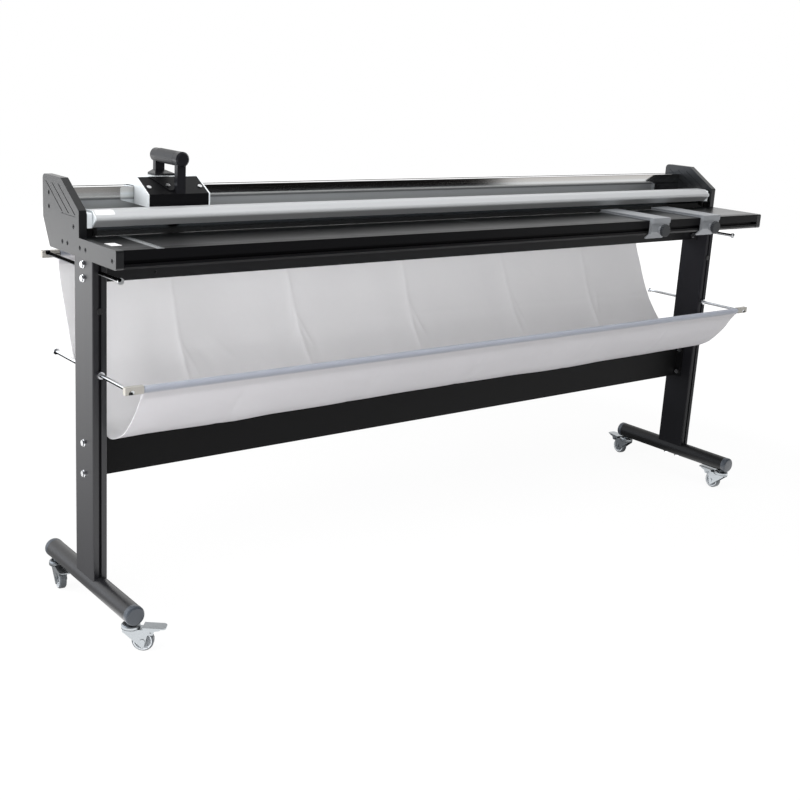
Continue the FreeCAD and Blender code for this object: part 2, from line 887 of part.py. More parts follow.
# Guide rail: hollow section with a bright front face and a groove for the head's shoes

def guide_rail():
    body = new_body("guide_rail")
    front, rear = rail_front, rail_rear
    middle = rail_middle
    mouth, room = s.rail_slot / 2, s.rail_slot_room / 2
    lip = rail_top - s.rail_slot_lip
    floor = rail_top - s.rail_slot_depth
    outline = [
        (front, rail_bottom), (rear, rail_bottom), (rear, rail_top),
        (middle + mouth, rail_top), (middle + mouth, lip), (middle + room, lip),
        (middle + room, floor), (middle - room, floor), (middle - room, lip),
        (middle - mouth, lip), (middle - mouth, rail_top), (front, rail_top),
    ]
    extrude(body, "YZ", -plate_inner, plate_inner, [outline])
    ends = [corner("YZ", front, rail_bottom), corner("YZ", rear, rail_bottom),
            corner("YZ", rear, rail_top), corner("YZ", front, rail_top)]
    soften(body, ends, 1.5)
    room = rectangle(front + s.rail_wall, rear - s.rail_wall,
                     rail_bottom + s.rail_boss, rail_top - s.rail_boss)
    carve(body, "YZ", -plate_inner, plate_inner, [room])
    screw_ports(body, RAIL_SCREWS, 20)


guide_rail()


# Paper clamp: a pressing profile on two sprung pins that slide up in guide blocks

clamp_end = leg_place
clamp_radii = (12, 8, 6, 3)
wall = s.clamp_wall


def clamp_section(inset=0):
    """The clamp's outline, or the same with its walls set in."""
    front, rear = inset - s.clamp_rear, s.clamp_rear - inset
    low, high = clamp_bottom + inset, clamp_top - inset
    return [
        (rear, high), (s.clamp_brow - s.clamp_rear + inset * 0.4, high),
        (front, clamp_top - s.clamp_brow_drop - inset * 0.5),
        (front, clamp_top - s.clamp_chin_drop + inset * 0.4),
        (s.clamp_chin - s.clamp_rear + inset * 0.5, low), (rear, low),
    ]


clamp_outline = clamp_section()


def clamp_tube():
    body = new_body("clamp_tube")
    end = clamp_end - s.clamp_cap
    extrude(body, "YZ", -end, end, [clamp_outline])
    for place, radius in zip(clamp_outline[1:], clamp_radii):
        soften(body, [corner("YZ", *place)], radius)
    carve(body, "YZ", -end, end, [clamp_section(wall)])


clamp_tube()


def clamp_end_caps():
    body = new_body("clamp_end_caps")
    near = clamp_end - s.clamp_cap
    for _, side in SIDES:
        extrude(body, "YZ", *between(side, near, clamp_end), [clamp_outline])
        extrude(body, "YZ", *between(side, near - s.clamp_plug, near), [clamp_section(wall + 0.3)])
        extrude(body, "YZ", *between(side, clamp_end, clamp_end + s.clamp_pin_length),
                circles=[(s.clamp_pin_place, clamp_pin_height, s.clamp_pin)])
        high = clamp_top - s.clamp_recess_drop
        carve(body, "YZ", *between(side, clamp_end - 1, clamp_end),
              [rectangle(18 - s.clamp_recess, 18, high - s.clamp_recess_height, high)])
    for place, radius in zip(clamp_outline[1:], clamp_radii):
        soften(body, [corner("YZ", *place)], radius)


clamp_end_caps()


def clear_strip():
    body = new_body("clear_strip")
    thick = s.strip_thick
    top = clamp_bottom - 0.1
    low = s.table_height + s.stop_play + 0.1
    extrude(body, "YZ", 12 - clamp_end, clamp_end - 12, [[
        (12, top), (2, top), (-s.strip_reach, low), (thick * 1.4 - s.strip_reach, low),
        (2 + thick / 2, top - thick), (12, top - thick)]])


clear_strip()

guide_face = clamp_end + 0.5
guide_slot_floor = plate_inner - 3.5


def clamp_guides():
    body = new_body("clamp_guides")
    slot = s.clamp_pin / 2 + 0.1
    top = s.table_height + s.guide_height
    slot_top = clamp_pin_height + s.clamp_pin / 2 + s.spring_length + 0.6
    for _, side in SIDES:
        extrude(body, "YZ", *between(side, guide_face, plate_inner),
                [rectangle(-s.guide_front, s.guide_rear, s.table_height, top)])
        low, high = between(side, guide_face, guide_slot_floor)
        y, z = s.clamp_pin_place, clamp_pin_height
        carve(body, "YZ", low, high, [rectangle(y - slot, y + slot, z, slot_top)])
        carve(body, "YZ", low, high, circles=[(y, z, slot * 2)])
        carve(body, "YZ", *between(side, guide_slot_floor, plate_inner),
              circles=[(*GUIDE_SCREWS[0], screw_bore)])
    corners = [corner("YZ", -s.guide_front, top), corner("YZ", s.guide_rear, top)]
    soften(body, corners, 4)


clamp_guides()


def clamp_springs():
    body = new_body("clamp_springs")
    low = clamp_pin_height + s.clamp_pin / 2 + 0.3
    x = (guide_face + guide_slot_floor) / 2
    places = [x * side for _, side in SIDES]
    extrude(body, "XY", low, low + s.spring_length,
            circles=[(u, s.clamp_pin_place, s.spring_outer) for u in places])
    carve(body, "XY", low, low + s.spring_length,
          circles=[(u, s.clamp_pin_place, s.spring_inner) for u in places])


clamp_springs()


# Cutter head. Its pieces are drawn about the middle of the head and placed on the rail.

head_half = s.head_width / 2
head_inside = head_half - s.head_plate
head_front = rail_front - s.head_reach
head_rear = rail_rear + s.head_overhang
head_crest = rail_front - s.head_crest_inset
head_bottom = rail_bottom + s.head_skirt
head_brow = rail_top - s.head_brow_drop
head_top = rail_top + s.head_rise
slope_angle = slant(head_top - head_brow, head_crest - head_front)
saddle_floor = rail_top + s.head_rail_play
bridge_floor = saddle_floor + 0.5


def on_head(label):
    body = new_body(label)
    body.setExpression("Placement.Base.x", (s.head_inset - half_length).formula)
    return body


def head_plate(name, side):
    body = on_head("head_plate_" + name)
    notch = rail_front - s.head_rail_play
    outline = [
        (head_front, head_bottom), (head_front, head_brow), (head_crest, head_top),
        (head_rear, head_top), (head_rear, saddle_floor), (notch, saddle_floor),
        (notch, head_bottom),
    ]
    extrude(body, "YZ", *between(side, head_inside, head_half), [outline])
    soften(body, [corner("YZ", *outline[3]), corner("YZ", *outline[2])], 4)
    soften(body, [corner("YZ", *outline[1])], 2)
    bolts = [(rail_middle + way * 16, (saddle_floor + head_top) / 2, 5) for way in (-1, 1)]
    carve(body, "YZ", *between(side, head_inside, head_half), circles=bolts)


for name, side in SIDES:
    head_plate(name, side)


def slope_at(y, depth=0):
    """Height of the cover's slope above the floor at a distance from the middle."""
    rise = (head_top - head_brow) / (head_crest - head_front)
    return head_brow + (as_size(y) - head_front) * rise - depth


COVER_SCREWS = [(-67, 28), (-17, 32), (67, 28)]


def head_cover():
    """Bent sheet with a raised tongue on its slope."""
    body = on_head("head_cover")
    sheet = s.cover_sheet
    inside = head_front + sheet
    outline = [
        (head_front, head_bottom), (head_front, head_brow), (head_crest, head_top),
        (head_crest, head_top - sheet * 1.15), (inside, slope_at(inside, sheet * 1.15)),
        (inside, head_bottom),
    ]
    extrude(body, "YZ", -head_inside, head_inside, [outline])
    soften(body, [corner("YZ", head_front, head_brow)], 2)
    tongue = [(-50, 68), (2, 68), (-5, 25), (-8, 12), (-20, 12)]
    slope_prism(body, 0, s.cover_pad, [tongue])
    slope_prism(body, -8, s.cover_pad + 1, circles=[(u, v, s.cover_screw + 0.3) for u, v in COVER_SCREWS],
                cut=True)


def slope_prism(body, low, high, outlines=(), circles=(), cut=False):
    """A prism that stands on the cover's slope: u runs along X and v up the slope."""
    sketch = body.newObject("Sketcher::SketchObject", body.Label + "_sketch")
    sketch.AttachmentSupport = [(plane_of(body, "XY"), "")]
    sketch.MapMode = "FlatFace"
    turn = FreeCAD.Rotation(FreeCAD.Vector(1, 0, 0), slope_angle.value)
    sketch.AttachmentOffset = FreeCAD.Placement(FreeCAD.Vector(), turn)
    low, high = as_size(low), as_size(high)
    radians = math.radians(slope_angle.value)
    down = Size(math.sin(radians), "sin(%s)" % slope_angle.formula)
    up = Size(math.cos(radians), "cos(%s)" % slope_angle.formula)
    sketch.setExpression(".AttachmentOffset.Rotation.Angle", slope_angle.formula)
    sketch.setExpression(".AttachmentOffset.Base.y", (head_front - low * down).formula)
    sketch.setExpression(".AttachmentOffset.Base.z", (head_brow + low * up).formula)
    for outline in outlines:
        draw_outline(sketch, outline)
    for u, v, diameter in circles:
        draw_circle(sketch, u, v, diameter)
    feature = body.newObject("PartDesign::Pocket" if cut else "PartDesign::Pad", body.Label + "_slope")
    feature.Profile = sketch
    feature.setExpression("Length", (high - low).formula)
    feature.Reversed = cut
    return feature


head_cover()


def cover_screws():
    body = on_head("cover_screws")
    for u, v in COVER_SCREWS:
        base = s.cover_pad if u == -17 else as_size(0)
        slope_prism(body, base, base + s.cover_screw_dome, circles=[(u, v, s.cover_screw_head)])
        slope_prism(body, base - 7, base, circles=[(u, v, s.cover_screw)])


cover_screws()

blade_height = s.table_height + s.blade_diameter / 2 - s.blade_overlap
blade_front = s.bed_rear + 0.05
hub_front = blade_front + s.blade_thick
hub_back = hub_front + s.hub_thick
arm_front = hub_back + s.spring_seat
arm_rear = rail_front - s.arm_play


def head_carriage():
    """Bridge between the side plates, with the arm that holds the blade's axle."""
    body = on_head("head_carriage")
    extrude(body, "YZ", -head_inside, head_inside,
            [rectangle(head_crest, head_rear, bridge_floor, head_top)])
    half_arm = s.arm_width / 2
    low = blade_height - half_arm
    extrude(body, "XZ", arm_front, arm_rear,
            [rectangle(-half_arm, half_arm, low, bridge_floor + 3)])
    soften(body, [corner("XZ", -half_arm, low), corner("XZ", half_arm, low)], half_arm * 0.98)
    carve(body, "XZ", arm_front, arm_rear,
          circles=[(0, blade_height, s.axle_diameter + s.slide_play)])


head_carriage()


def glide_pads():
    """Two plastic shoes that sit on the rail and hook into its groove."""
    body = on_head("glide_pads")
    play = s.slide_play
    middle = rail_middle
    neck = s.rail_slot / 2 - play
    hook = s.rail_slot_room / 2 - 1
    wide = 20
    lip = rail_top - s.rail_slot_lip - play
    floor = rail_top - s.rail_slot_depth + 0.3
    section = [
        (middle - hook, floor), (middle + hook, floor), (middle + hook, lip), (middle + neck, lip),
        (middle + neck, rail_top + play), (middle + wide, rail_top + play),
        (middle + wide, bridge_floor), (middle - wide, bridge_floor),
        (middle - wide, rail_top + play), (middle - neck, rail_top + play),
        (middle - neck, lip), (middle - hook, lip),
    ]
    for side in (-1, 1):
        near = s.shoe_spacing / 2 - s.shoe_length / 2
        extrude(body, "YZ", *between(side, near, near + s.shoe_length), [section])


glide_pads()


def rotary_blade():
    """Round blade, flat on its cutting side and bevelled on the other."""
    body = on_head("rotary_blade")
    radius, bore = s.blade_diameter / 2, s.blade_bore / 2 + 0.03
    profile = [
        (bore, -blade_front), (radius, -blade_front), (radius, -(blade_front + 0.3)),
        (radius - s.blade_bevel, -hub_front), (bore, -hub_front)]
    turn_about_blade(body, profile)


def turn_about_blade(body, profile):
    """Turns an outline of radius and depth about the blade's axle."""
    sketch = new_sketch(body, "XY", blade_height)
    draw_outline(sketch, [(r, -as_size(y)) for r, y in profile])
    feature = body.newObject("PartDesign::Revolution", body.Label + "_turned")
    feature.Profile = sketch
    feature.ReferenceAxis = (sketch, ["V_Axis"])
    feature.Angle = 360
    return feature


rotary_blade()


def blade_hub():
    body = on_head("blade_hub")
    bore = s.axle_diameter / 2 + s.blade_play
    spigot = s.blade_bore / 2
    nose = blade_front - s.hub_nose
    turn_about_blade(body, [
        (bore, -nose), (spigot, -nose), (spigot, -hub_front), (s.hub_flange / 2, -hub_front),
        (s.hub_flange / 2, -(hub_back - 2)), (s.hub_flange / 2 - 2, -hub_back), (bore, -hub_back)])
    turn_about_blade(body, [
        (spigot + 0.05, -nose), (s.hub_nut / 2 - 1, -nose), (s.hub_nut / 2, -(nose + 1)),
        (s.hub_nut / 2, -blade_front), (spigot + 0.05, -blade_front)])


blade_hub()


def blade_axle():
    body = on_head("blade_axle")
    shank = s.axle_diameter / 2
    seat = blade_front - s.hub_nose - s.slide_play
    head = seat - s.axle_head_thick
    turn_about_blade(body, [
        (0, -head), (s.axle_head / 2 - 1, -head), (s.axle_head / 2, -(head + 1)),
        (s.axle_head / 2, -seat), (shank, -seat), (shank, -arm_rear), (0, -arm_rear)])


blade_axle()


def blade_spring():
    """Coned spring washer between the hub and the arm."""
    body = on_head("blade_spring")
    inner = s.axle_diameter / 2 + 0.3
    outer = s.spring_washer / 2
    low = hub_back + s.slide_play
    lift = arm_front - low - s.spring_washer_thick
    turn_about_blade(body, [
        (inner, -(low + lift)), (outer, -low), (outer, -(low + s.spring_washer_thick)),
        (inner, -arm_front)])


blade_spring()


grip_height = head_top + s.grip_rise
grip_front = head_front + s.grip_inset
grip_rear = grip_front + s.grip_length


def handle_bracket():
    """Two posts and the rod between them, with a flared foot under the rear post."""
    body = on_head("handle_bracket")
    x = s.handle_place
    cap, core = s.handle_cap / 2, s.grip_core / 2
    nose, tail = grip_front - s.handle_nose, grip_rear + s.handle_tail
    sketch = new_sketch(body, "XY", grip_height, across=x)
    draw_outline(sketch, [
        (0, nose), (cap - 4, nose), (cap, nose + 4),
        (cap, grip_front), (core, grip_front), (core, grip_rear), (cap - 1, grip_rear),
        (cap - 1, tail - 4), (cap - 5, tail), (0, tail)])
    rod = body.newObject("PartDesign::Revolution", "handle_rod")
    rod.Profile = sketch
    rod.ReferenceAxis = (sketch, ["V_Axis"])
    rod.Angle = 360
    near, far = head_front + s.front_post_inset, grip_front
    wide = s.front_post_width / 2
    post = [(near, slope_at(near)), (far, slope_at(far)), (far, grip_height), (near, grip_height)]
    extrude(body, "YZ", x - wide, x + wide, [post])
    rear = head_rear - 3
    front = grip_rear
    wide = s.rear_post_width / 2
    extrude(body, "YZ", x - wide, x + wide,
            [rectangle(front, rear, head_top + s.foot_flare_height, grip_height)])
    flare = s.foot_flare / 2
    foot = rectangle(x - flare, x + flare, rear - s.foot_flare_depth, rear)
    extrude(body, "XY", head_top, head_top + s.foot_flare_height, [foot])
    bottom = new_sketch(body, "XY", head_top + s.foot_flare_height)
    draw_outline(bottom, foot)
    top = new_sketch(body, "XY", head_top + s.foot_flare_height + s.foot_flare_rise)
    draw_outline(top, rectangle(x - wide, x + wide, front, rear))
    loft = body.newObject("PartDesign::AdditiveLoft", "handle_flare")
    loft.Profile = bottom
    loft.Sections = [top]
    loft.Ruled = True


handle_bracket()


def handle_grip():
    body = on_head("handle_grip")
    front, rear = grip_front, grip_rear
    place = (s.handle_place, grip_height)
    extrude(body, "XZ", front, rear, circles=[(*place, s.grip_diameter)])
    carve(body, "XZ", front, rear, circles=[(*place, s.grip_core + 0.1)])
    soften(body, [rim("XZ", front, s.grip_diameter), rim("XZ", rear, s.grip_diameter)], 2)


handle_grip()


# Paper stops: an arm on the table, a bracket in the front slot, and a clamping knob

def on_stop(label, place):
    body = new_body(label)
    body.setExpression("Placement.Base.x", place.formula)
    return body


def stop_arm(number, place):
    body = on_stop("stop_arm_%d" % number, place)
    half = s.stop_width / 2
    low = s.table_height + s.stop_play
    high = low + s.stop_thick
    groove = s.stop_groove
    third = s.stop_thick / 3
    section = [
        (-half, low), (half, low), (half, low + third), (half - groove, low + third),
        (half - groove, high - third), (half, high - third), (half, high), (-half, high),
        (-half, high - third), (groove - half, high - third), (groove - half, low + third),
        (-half, low + third)]
    extrude(body, "XZ", -s.table_front - s.stop_play, -s.stop_rear, [section])


def stop_bracket(number, place):
    """Length of extrusion that hooks round the table's front, and the key in the table's slot."""
    body = on_stop("stop_bracket_%d" % number, place)
    half = s.stop_width / 2
    top = s.table_height + s.stop_play + s.stop_thick
    rear = -s.table_front - s.stop_play
    front = rear - s.bracket_thick
    nose = front - s.bracket_proud
    brow = top - s.bracket_head
    toe = s.bracket_toe - s.table_front
    skew = math.sqrt(0.5)
    inner = table_bottom + s.front_chamfer - s.table_front - s.bracket_lip_play / skew
    tip = s.bracket_lip * skew
    outline = [
        (rear, top), (nose, top), (nose, brow), (front, brow),
        (front, inner - s.bracket_lip / skew - front), (toe - tip, inner - toe - tip),
        (toe, inner - toe), (rear, inner - rear)]
    extrude(body, "YZ", -half, half, [outline])
    soften(body, [corner("YZ", nose, top), corner("YZ", *outline[4])], 2)
    boss = front - s.bracket_boss_length
    extrude(body, "XZ", boss, front, circles=[(0, slot_height, s.bracket_boss)])
    key = s.bracket_key / 2
    neck = s.slot_opening / 2 - 0.3
    hook = s.slot_room / 2 - 1
    behind_lip = s.slot_lip - s.table_front + 0.3
    back = s.slot_lip + s.slot_depth - s.table_front - 1
    extrude(body, "XZ", rear, behind_lip, [rectangle(-key, key, slot_height - neck, slot_height + neck)])
    extrude(body, "XZ", behind_lip, back, [rectangle(-key, key, slot_height - hook, slot_height + hook)])
    carve(body, "XZ", boss, back, circles=[(0, slot_height, s.knob_stud + 0.12)])


def stop_knob(number, place):
    body = on_stop("stop_knob_%d" % number, place)
    bracket = -s.table_front - s.stop_play - s.bracket_thick - s.bracket_boss_length
    neck = bracket - s.knob_neck + 0.3
    front = neck - s.knob_thick
    tip = s.slot_lip + s.slot_depth - s.table_front - 0.3
    around = (0, slot_height)
    extrude(body, "XZ", front, neck, circles=[(*around, s.knob_diameter)])
    soften(body, [rim("XZ", front, s.knob_diameter)], 2.5)
    extrude(body, "XZ", neck, bracket - 0.3, circles=[(*around, s.knob_diameter / 2)])
    extrude(body, "XZ", bracket - 0.3, tip, circles=[(*around, s.knob_stud)])
    flute = carve(body, "XZ", front - 1, neck + 0.01,
                  circles=[(0, slot_height + s.knob_diameter / 2 + 1, 5)])
    doc.recompute()
    axis_sketch = new_sketch(body, "XZ", 0, along=slot_height)
    draw_circle(axis_sketch, 0, 0, 1)
    ring = body.newObject("PartDesign::PolarPattern", "knob_flutes")
    ring.Originals = [flute]
    ring.Axis = (axis_sketch, ["N_Axis"])
    ring.Angle = 360
    ring.setExpression("Occurrences", s.knob_flutes.formula)
    body.Tip = ring
    doc.recompute()


for number, place in ((1, half_length - s.stop_inset_near), (2, half_length - s.stop_inset_far)):
    stop_arm(number, place)
    stop_bracket(number, place)
    stop_knob(number, place)


# Catcher: rods through the legs carry two bars, and a sheet hangs between the bars

def catcher_rods():
    """Four rods, each with a flat head at its free end."""
    body = new_body("catcher_rods")
    upper_end = s.rear_bar_place + s.clip_depth / 2
    lower_end = s.front_bar_place - s.clip_depth / 2
    rods = (
        (-leg_place, upper_rod_height, -s.upper_rod_left, upper_end, -1),
        (leg_place, upper_rod_height, -s.upper_rod_right, upper_end, -1),
        (-leg_place, s.lower_rod_height, lower_end, s.lower_rod_left, 1),
        (leg_place, s.lower_rod_height, lower_end, s.lower_rod_right, 1),
    )
    for x, z, near, far, head_way in rods:
        extrude(body, "XZ", near, far, circles=[(x, z, s.rod_diameter)])
        if head_way < 0:
            extrude(body, "XZ", near, near + s.rod_head_thick, circles=[(x, z, s.rod_head)])
        else:
            extrude(body, "XZ", far - s.rod_head_thick, far, circles=[(x, z, s.rod_head)])


catcher_rods()


def rod_collars():
    body = new_body("rod_collars")
    face = s.leg_depth / 2
    bore = s.rod_diameter + 0.1
    places = [leg_place * side for _, side in SIDES]
    rows = ((s.lower_rod_height, -face - s.collar_length, -face),
            (upper_rod_height, face, face + s.collar_length))
    for z, near, far in rows:
        extrude(body, "XZ", near, far, circles=[(x, z, s.collar_diameter) for x in places])
        carve(body, "XZ", near, far, circles=[(x, z, bore) for x in places])


rod_collars()


def catcher_bar(label, place, height, diameter):
    body = new_body(label)
    end = leg_place - s.clip_inner + s.bar_overhang
    extrude(body, "YZ", -end, end, circles=[(place, height, diameter)])


catcher_bar("front_bar", s.front_bar_place, front_bar_height, s.front_bar_diameter)
catcher_bar("rear_bar", s.rear_bar_place, rear_bar_height, s.rear_bar_diameter)


def rod_clips():
    """Clips that hold the bars' ends on the rods."""
    body = new_body("rod_clips")
    rod_bore = s.rod_diameter + 0.1
    rows = (
        (s.front_bar_place, front_bar_height, s.front_bar_diameter, s.lower_rod_height),
        (s.rear_bar_place, rear_bar_height, s.rear_bar_diameter, upper_rod_height),
    )
    for place, height, bar, rod_height in rows:
        near, far = place - s.clip_depth / 2, place + s.clip_depth / 2
        low, high = height - s.clip_height / 2, height + s.clip_height / 2
        for _, side in SIDES:
            inner, outer = leg_place - s.clip_inner, leg_place + s.clip_outer
            extrude(body, "XZ", near, far, [rectangle(*between(side, inner, outer), low, high)])
            carve(body, "XZ", near, far, circles=[(leg_place * side, rod_height, rod_bore)])
            reach = between(side, inner, inner + s.bar_overhang + 0.3)
            carve(body, "YZ", *reach, circles=[(place, height, bar + 0.1)])


rod_clips()


# The hanging sheet: arcs through its photographed line, lofted through stations along the bars

# Each point of the line is a share of the way from the lowest fold to the bar, and a share
# of the height from the lower beam's top to the bar.
SHEET_REAR = [(1.0283, 0.9201), (0.9849, 0.8204), (0.9321, 0.7235), (0.8755, 0.637),
              (0.8226, 0.5452), (0.766, 0.4587), (0.7057, 0.3775), (0.6377, 0.3067),
              (0.483, 0.1756), (0.3208, 0.0708), (0.1585, 0.0092)]
SHEET_FRONT = [(0.0116, 0.0064), (0.2442, 0.0769), (0.4942, 0.2372), (0.75, 0.5449),
               (0.8953, 0.8013)]
SHEET_STATIONS = ((-1.0, 3), (-0.78, 6), (-0.5, 0), (-0.37, -2.5), (-0.3, 1), (0.4, 0.5), (1.0, 3))
SHEET_SPREAD = 90
HEM_TURNS = (-35, 25, 85, 145, 205)


def sheet_line(lift):
    """Middle line of the sheet from the rear bar over the lower beam to the front bar's hem."""
    skin = s.sheet_play.value + s.sheet_thick.value / 2
    rear_ring = s.rear_bar_diameter.value / 2 + skin
    front_ring = s.front_bar_diameter.value / 2 + skin
    rear = (s.rear_bar_place.value, rear_bar_height.value)
    front = (s.front_bar_place.value, front_bar_height.value)
    fold, ground = -30.0, lower_beam_top.value
    line = [(rear[0] + rear_ring, rear[1] + 1), (rear[0] + rear_ring + 1.5, rear[1] - 14.5)]
    for (bar_y, bar_z), shares in ((rear, SHEET_REAR), (front, SHEET_FRONT)):
        for out, up in shares:
            y, z = fold + (bar_y - fold) * out, ground + (bar_z - ground) * up
            fade = max(0.0, 1 - (z - ground) / SHEET_SPREAD)
            drop = max(lift, -1.0) if 0 < y < 60 else lift
            line.append((y, z + drop * fade))
    for degrees in HEM_TURNS:
        turn = math.radians(degrees)
        line.append((front[0] + front_ring * math.cos(turn), front[1] + front_ring * math.sin(turn)))
    return line


def offset_points(line, distance):
    """The line's points moved square to it."""
    moved = []
    for index, (y, z) in enumerate(line):
        before = line[max(index - 1, 0)]
        after = line[min(index + 1, len(line) - 1)]
        dy, dz = after[0] - before[0], after[1] - before[1]
        size = math.hypot(dy, dz)
        moved.append((y - dz / size * distance, z + dy / size * distance))
    return moved


def sheet_section(x, lift):
    """Closed section of the sheet: arcs along both faces, joined by short lines."""
    half = s.sheet_thick.value / 2
    line = sheet_line(lift)
    upper = [FreeCAD.Vector(x, y, z) for y, z in offset_points(line, half)]
    lower = [FreeCAD.Vector(x, y, z) for y, z in offset_points(line, -half)]
    triples = range(0, len(line) - 2, 2)
    edges = [Part.Arc(*upper[i:i + 3]).toShape() for i in triples]
    edges.append(Part.LineSegment(upper[-1], lower[-1]).toShape())
    edges += [Part.Arc(lower[i + 2], lower[i + 1], lower[i]).toShape() for i in reversed(triples)]
    edges.append(Part.LineSegment(lower[0], upper[0]).toShape())
    return Part.Wire(edges)


def catcher_sheet():
    end = leg_place.value - s.clip_inner.value - 1
    sections = [sheet_section(end * share, lift) for share, lift in SHEET_STATIONS]
    feature = doc.addObject("Part::Feature", "catcher_sheet")
    feature.Label = "catcher_sheet"
    feature.Shape = Part.makeLoft(sections, True, True)
    feature.Placement = FreeCAD.Placement()
    nodes.append(feature)


catcher_sheet()


# Castors: drawn about the swivel axis with the wheel trailing along +X, then placed and turned

def castor_stems():
    body = new_body("castor_stems")
    places = [(leg_place * side, y) for _, side in SIDES for y in (-castor_front, castor_rear)]
    nut_low = foot_bottom + s.foot_wall + 2.8
    extrude(body, "XY", housing_bottom + 1, nut_low + s.castor_nut_height + 3,
            circles=[(x, y, s.castor_stem) for x, y in places])
    extrude(body, "XY", housing_top + 0.1, foot_bottom, circles=[(x, y, 20) for x, y in places])
    extrude(body, "XY", nut_low, nut_low + s.castor_nut_height,
            [hexagon(x, y, s.castor_nut) for x, y in places])


castor_stems()


def on_castor(label, corner_name, x, y):
    body = new_body(label + "_" + corner_name)
    turn = FreeCAD.Rotation(FreeCAD.Vector(0, 0, 1), CASTOR_TURNS[corner_name])
    body.Placement = FreeCAD.Placement(FreeCAD.Vector(x.value, y.value, 0), turn)
    body.setExpression("Placement.Base.x", x.formula)
    body.setExpression("Placement.Base.y", y.formula)
    return body


fork_inner = s.wheel_width / 2 + s.fork_play
fork_outer = fork_inner + s.fork_sheet
pivot_place = s.wheel_trail + s.pedal_pivot_reach
pivot_height = wheel_height + s.pedal_pivot_rise


def castor_fork(corner_name, x, y):
    """Pressed crown with triangular cheeks, ball-race housing, wheel axle and pedal pin."""
    body = on_castor("castor_fork", corner_name, x, y)
    bore = s.castor_stem / 2 + s.wheel_play
    outer, groove = s.housing_diameter / 2, s.housing_groove / 2
    low, high = housing_bottom, housing_top
    crown = low + s.fork_sheet
    sketch = new_sketch(body, "XZ", 0)
    draw_outline(sketch, [
        (bore, low), (outer - 1, low), (outer, low + 1), (outer, crown), (groove, crown),
        (groove, crown + 1.2), (outer, crown + 1.2), (outer, high - 4), (outer - 2.5, high - 1),
        (outer - 6, high), (bore, high)])
    housing = body.newObject("PartDesign::Revolution", "castor_housing")
    housing.Profile = sketch
    housing.ReferenceAxis = (sketch, ["V_Axis"])
    housing.Angle = 360
    trail = s.wheel_trail
    cheek = [
        (4.5 - outer, crown), (4.5 - outer, low - 5), (8 - groove, low - 9),
        (trail - 3, wheel_height - 14), (trail + 3, wheel_height - 14),
        (pivot_place - 7, pivot_height - 6), (pivot_place + 4.5, pivot_height - 4),
        (pivot_place + 4.5, crown)]
    for way in (-1, 1):
        near, far = (fork_inner, fork_outer) if way > 0 else (-fork_outer, -fork_inner)
        extrude(body, "XZ", near, far, [cheek])
    soften(body, [corner("XZ", u, v) for u, v in (cheek[3], cheek[4])], 3)
    top = rectangle(0, pivot_place - 5, -fork_outer, fork_outer)
    extrude(body, "XY", low, crown, [top])
    carve(body, "XY", low, crown, circles=[(0, 0, bore * 2)])
    reach = fork_outer + 1.5
    extrude(body, "XZ", -reach, reach, circles=[(trail, wheel_height, s.wheel_bore - s.wheel_play * 2)])
    for near, far in ((-reach, -fork_outer), (fork_outer, reach)):
        extrude(body, "XZ", near, far, circles=[(trail, wheel_height, 12)])
    extrude(body, "XZ", -reach - 2.5, reach + 2.5, circles=[(pivot_place, pivot_height, s.pedal_pin)])
    doc.recompute()


def castor_wheel(corner_name, x, y):
    body = on_castor("castor_wheel", corner_name, x, y)
    sketch = new_sketch(body, "XY", wheel_height, across=s.wheel_trail)
    half, radius, bore = s.wheel_width / 2, s.wheel_diameter / 2, s.wheel_bore / 2
    boss = fork_inner - 0.3
    draw_outline(sketch, [
        (bore, -boss), (bore + 4.5, -boss), (bore + 4.5, -3), (radius - 7, -3), (radius - 6, 0 - half),
        (radius - 2.5, 0 - half), (radius, 3 - half), (radius, half - 3), (radius - 2.5, half),
        (radius - 6, half), (radius - 7, 3), (bore + 4.5, 3), (bore + 4.5, boss), (bore, boss)])
    wheel = body.newObject("PartDesign::Revolution", "castor_wheel_turned")
    wheel.Profile = sketch
    wheel.ReferenceAxis = (sketch, ["V_Axis"])
    wheel.Angle = 360


def castor_brake(corner_name, x, y):
    """Pressed pedal with turned-down flanges, on a pin behind the wheel."""
    body = on_castor("castor_brake", corner_name, x, y)
    inner = fork_outer + 0.3
    outer = inner + s.pedal_sheet
    sheet = s.pedal_sheet
    high = pivot_height + s.pedal_rise
    low = high - sheet
    near, tip = s.pedal_near, s.pedal_reach
    extrude(body, "XZ", -outer, outer, [rectangle(near, tip, low, high)])
    flange = [
        (near, high), (near, low - s.pedal_flange + sheet), (pivot_place - 6, low - s.pedal_flange),
        (pivot_place - 5, pivot_height - 4), (pivot_place + 5, pivot_height - 4),
        (pivot_place + 9, low - s.pedal_flange), (tip - 14, low - s.pedal_flange + sheet),
        (tip - 10, high)]
    for left, right in ((-outer, -inner), (inner, outer)):
        extrude(body, "XZ", left, right, [flange])
    carve(body, "XZ", -outer, outer,
          circles=[(pivot_place, pivot_height, s.pedal_pin + 0.12)])
    doc.recompute()
    tips = []
    for edge in body.Tip.Shape.Edges:
        ends = [vertex.Point for vertex in edge.Vertexes]
        if len(ends) == 2 and all(abs(p.x - tip.value) < 0.01 for p in ends) \
                and abs(ends[0].y - ends[1].y) < 0.01:
            tips.append(edge)
    soften(body, [lambda edge: any(edge.isSame(found) for found in tips)], 9)


for corner_name in CASTOR_TURNS:
    x = leg_place * (-1 if corner_name.endswith("left") else 1)
    y = -castor_front if corner_name.startswith("front") else castor_rear
    castor_fork(corner_name, x, y)
    castor_wheel(corner_name, x, y)
    castor_brake(corner_name, x, y)


# Check the model, then write each sub-part

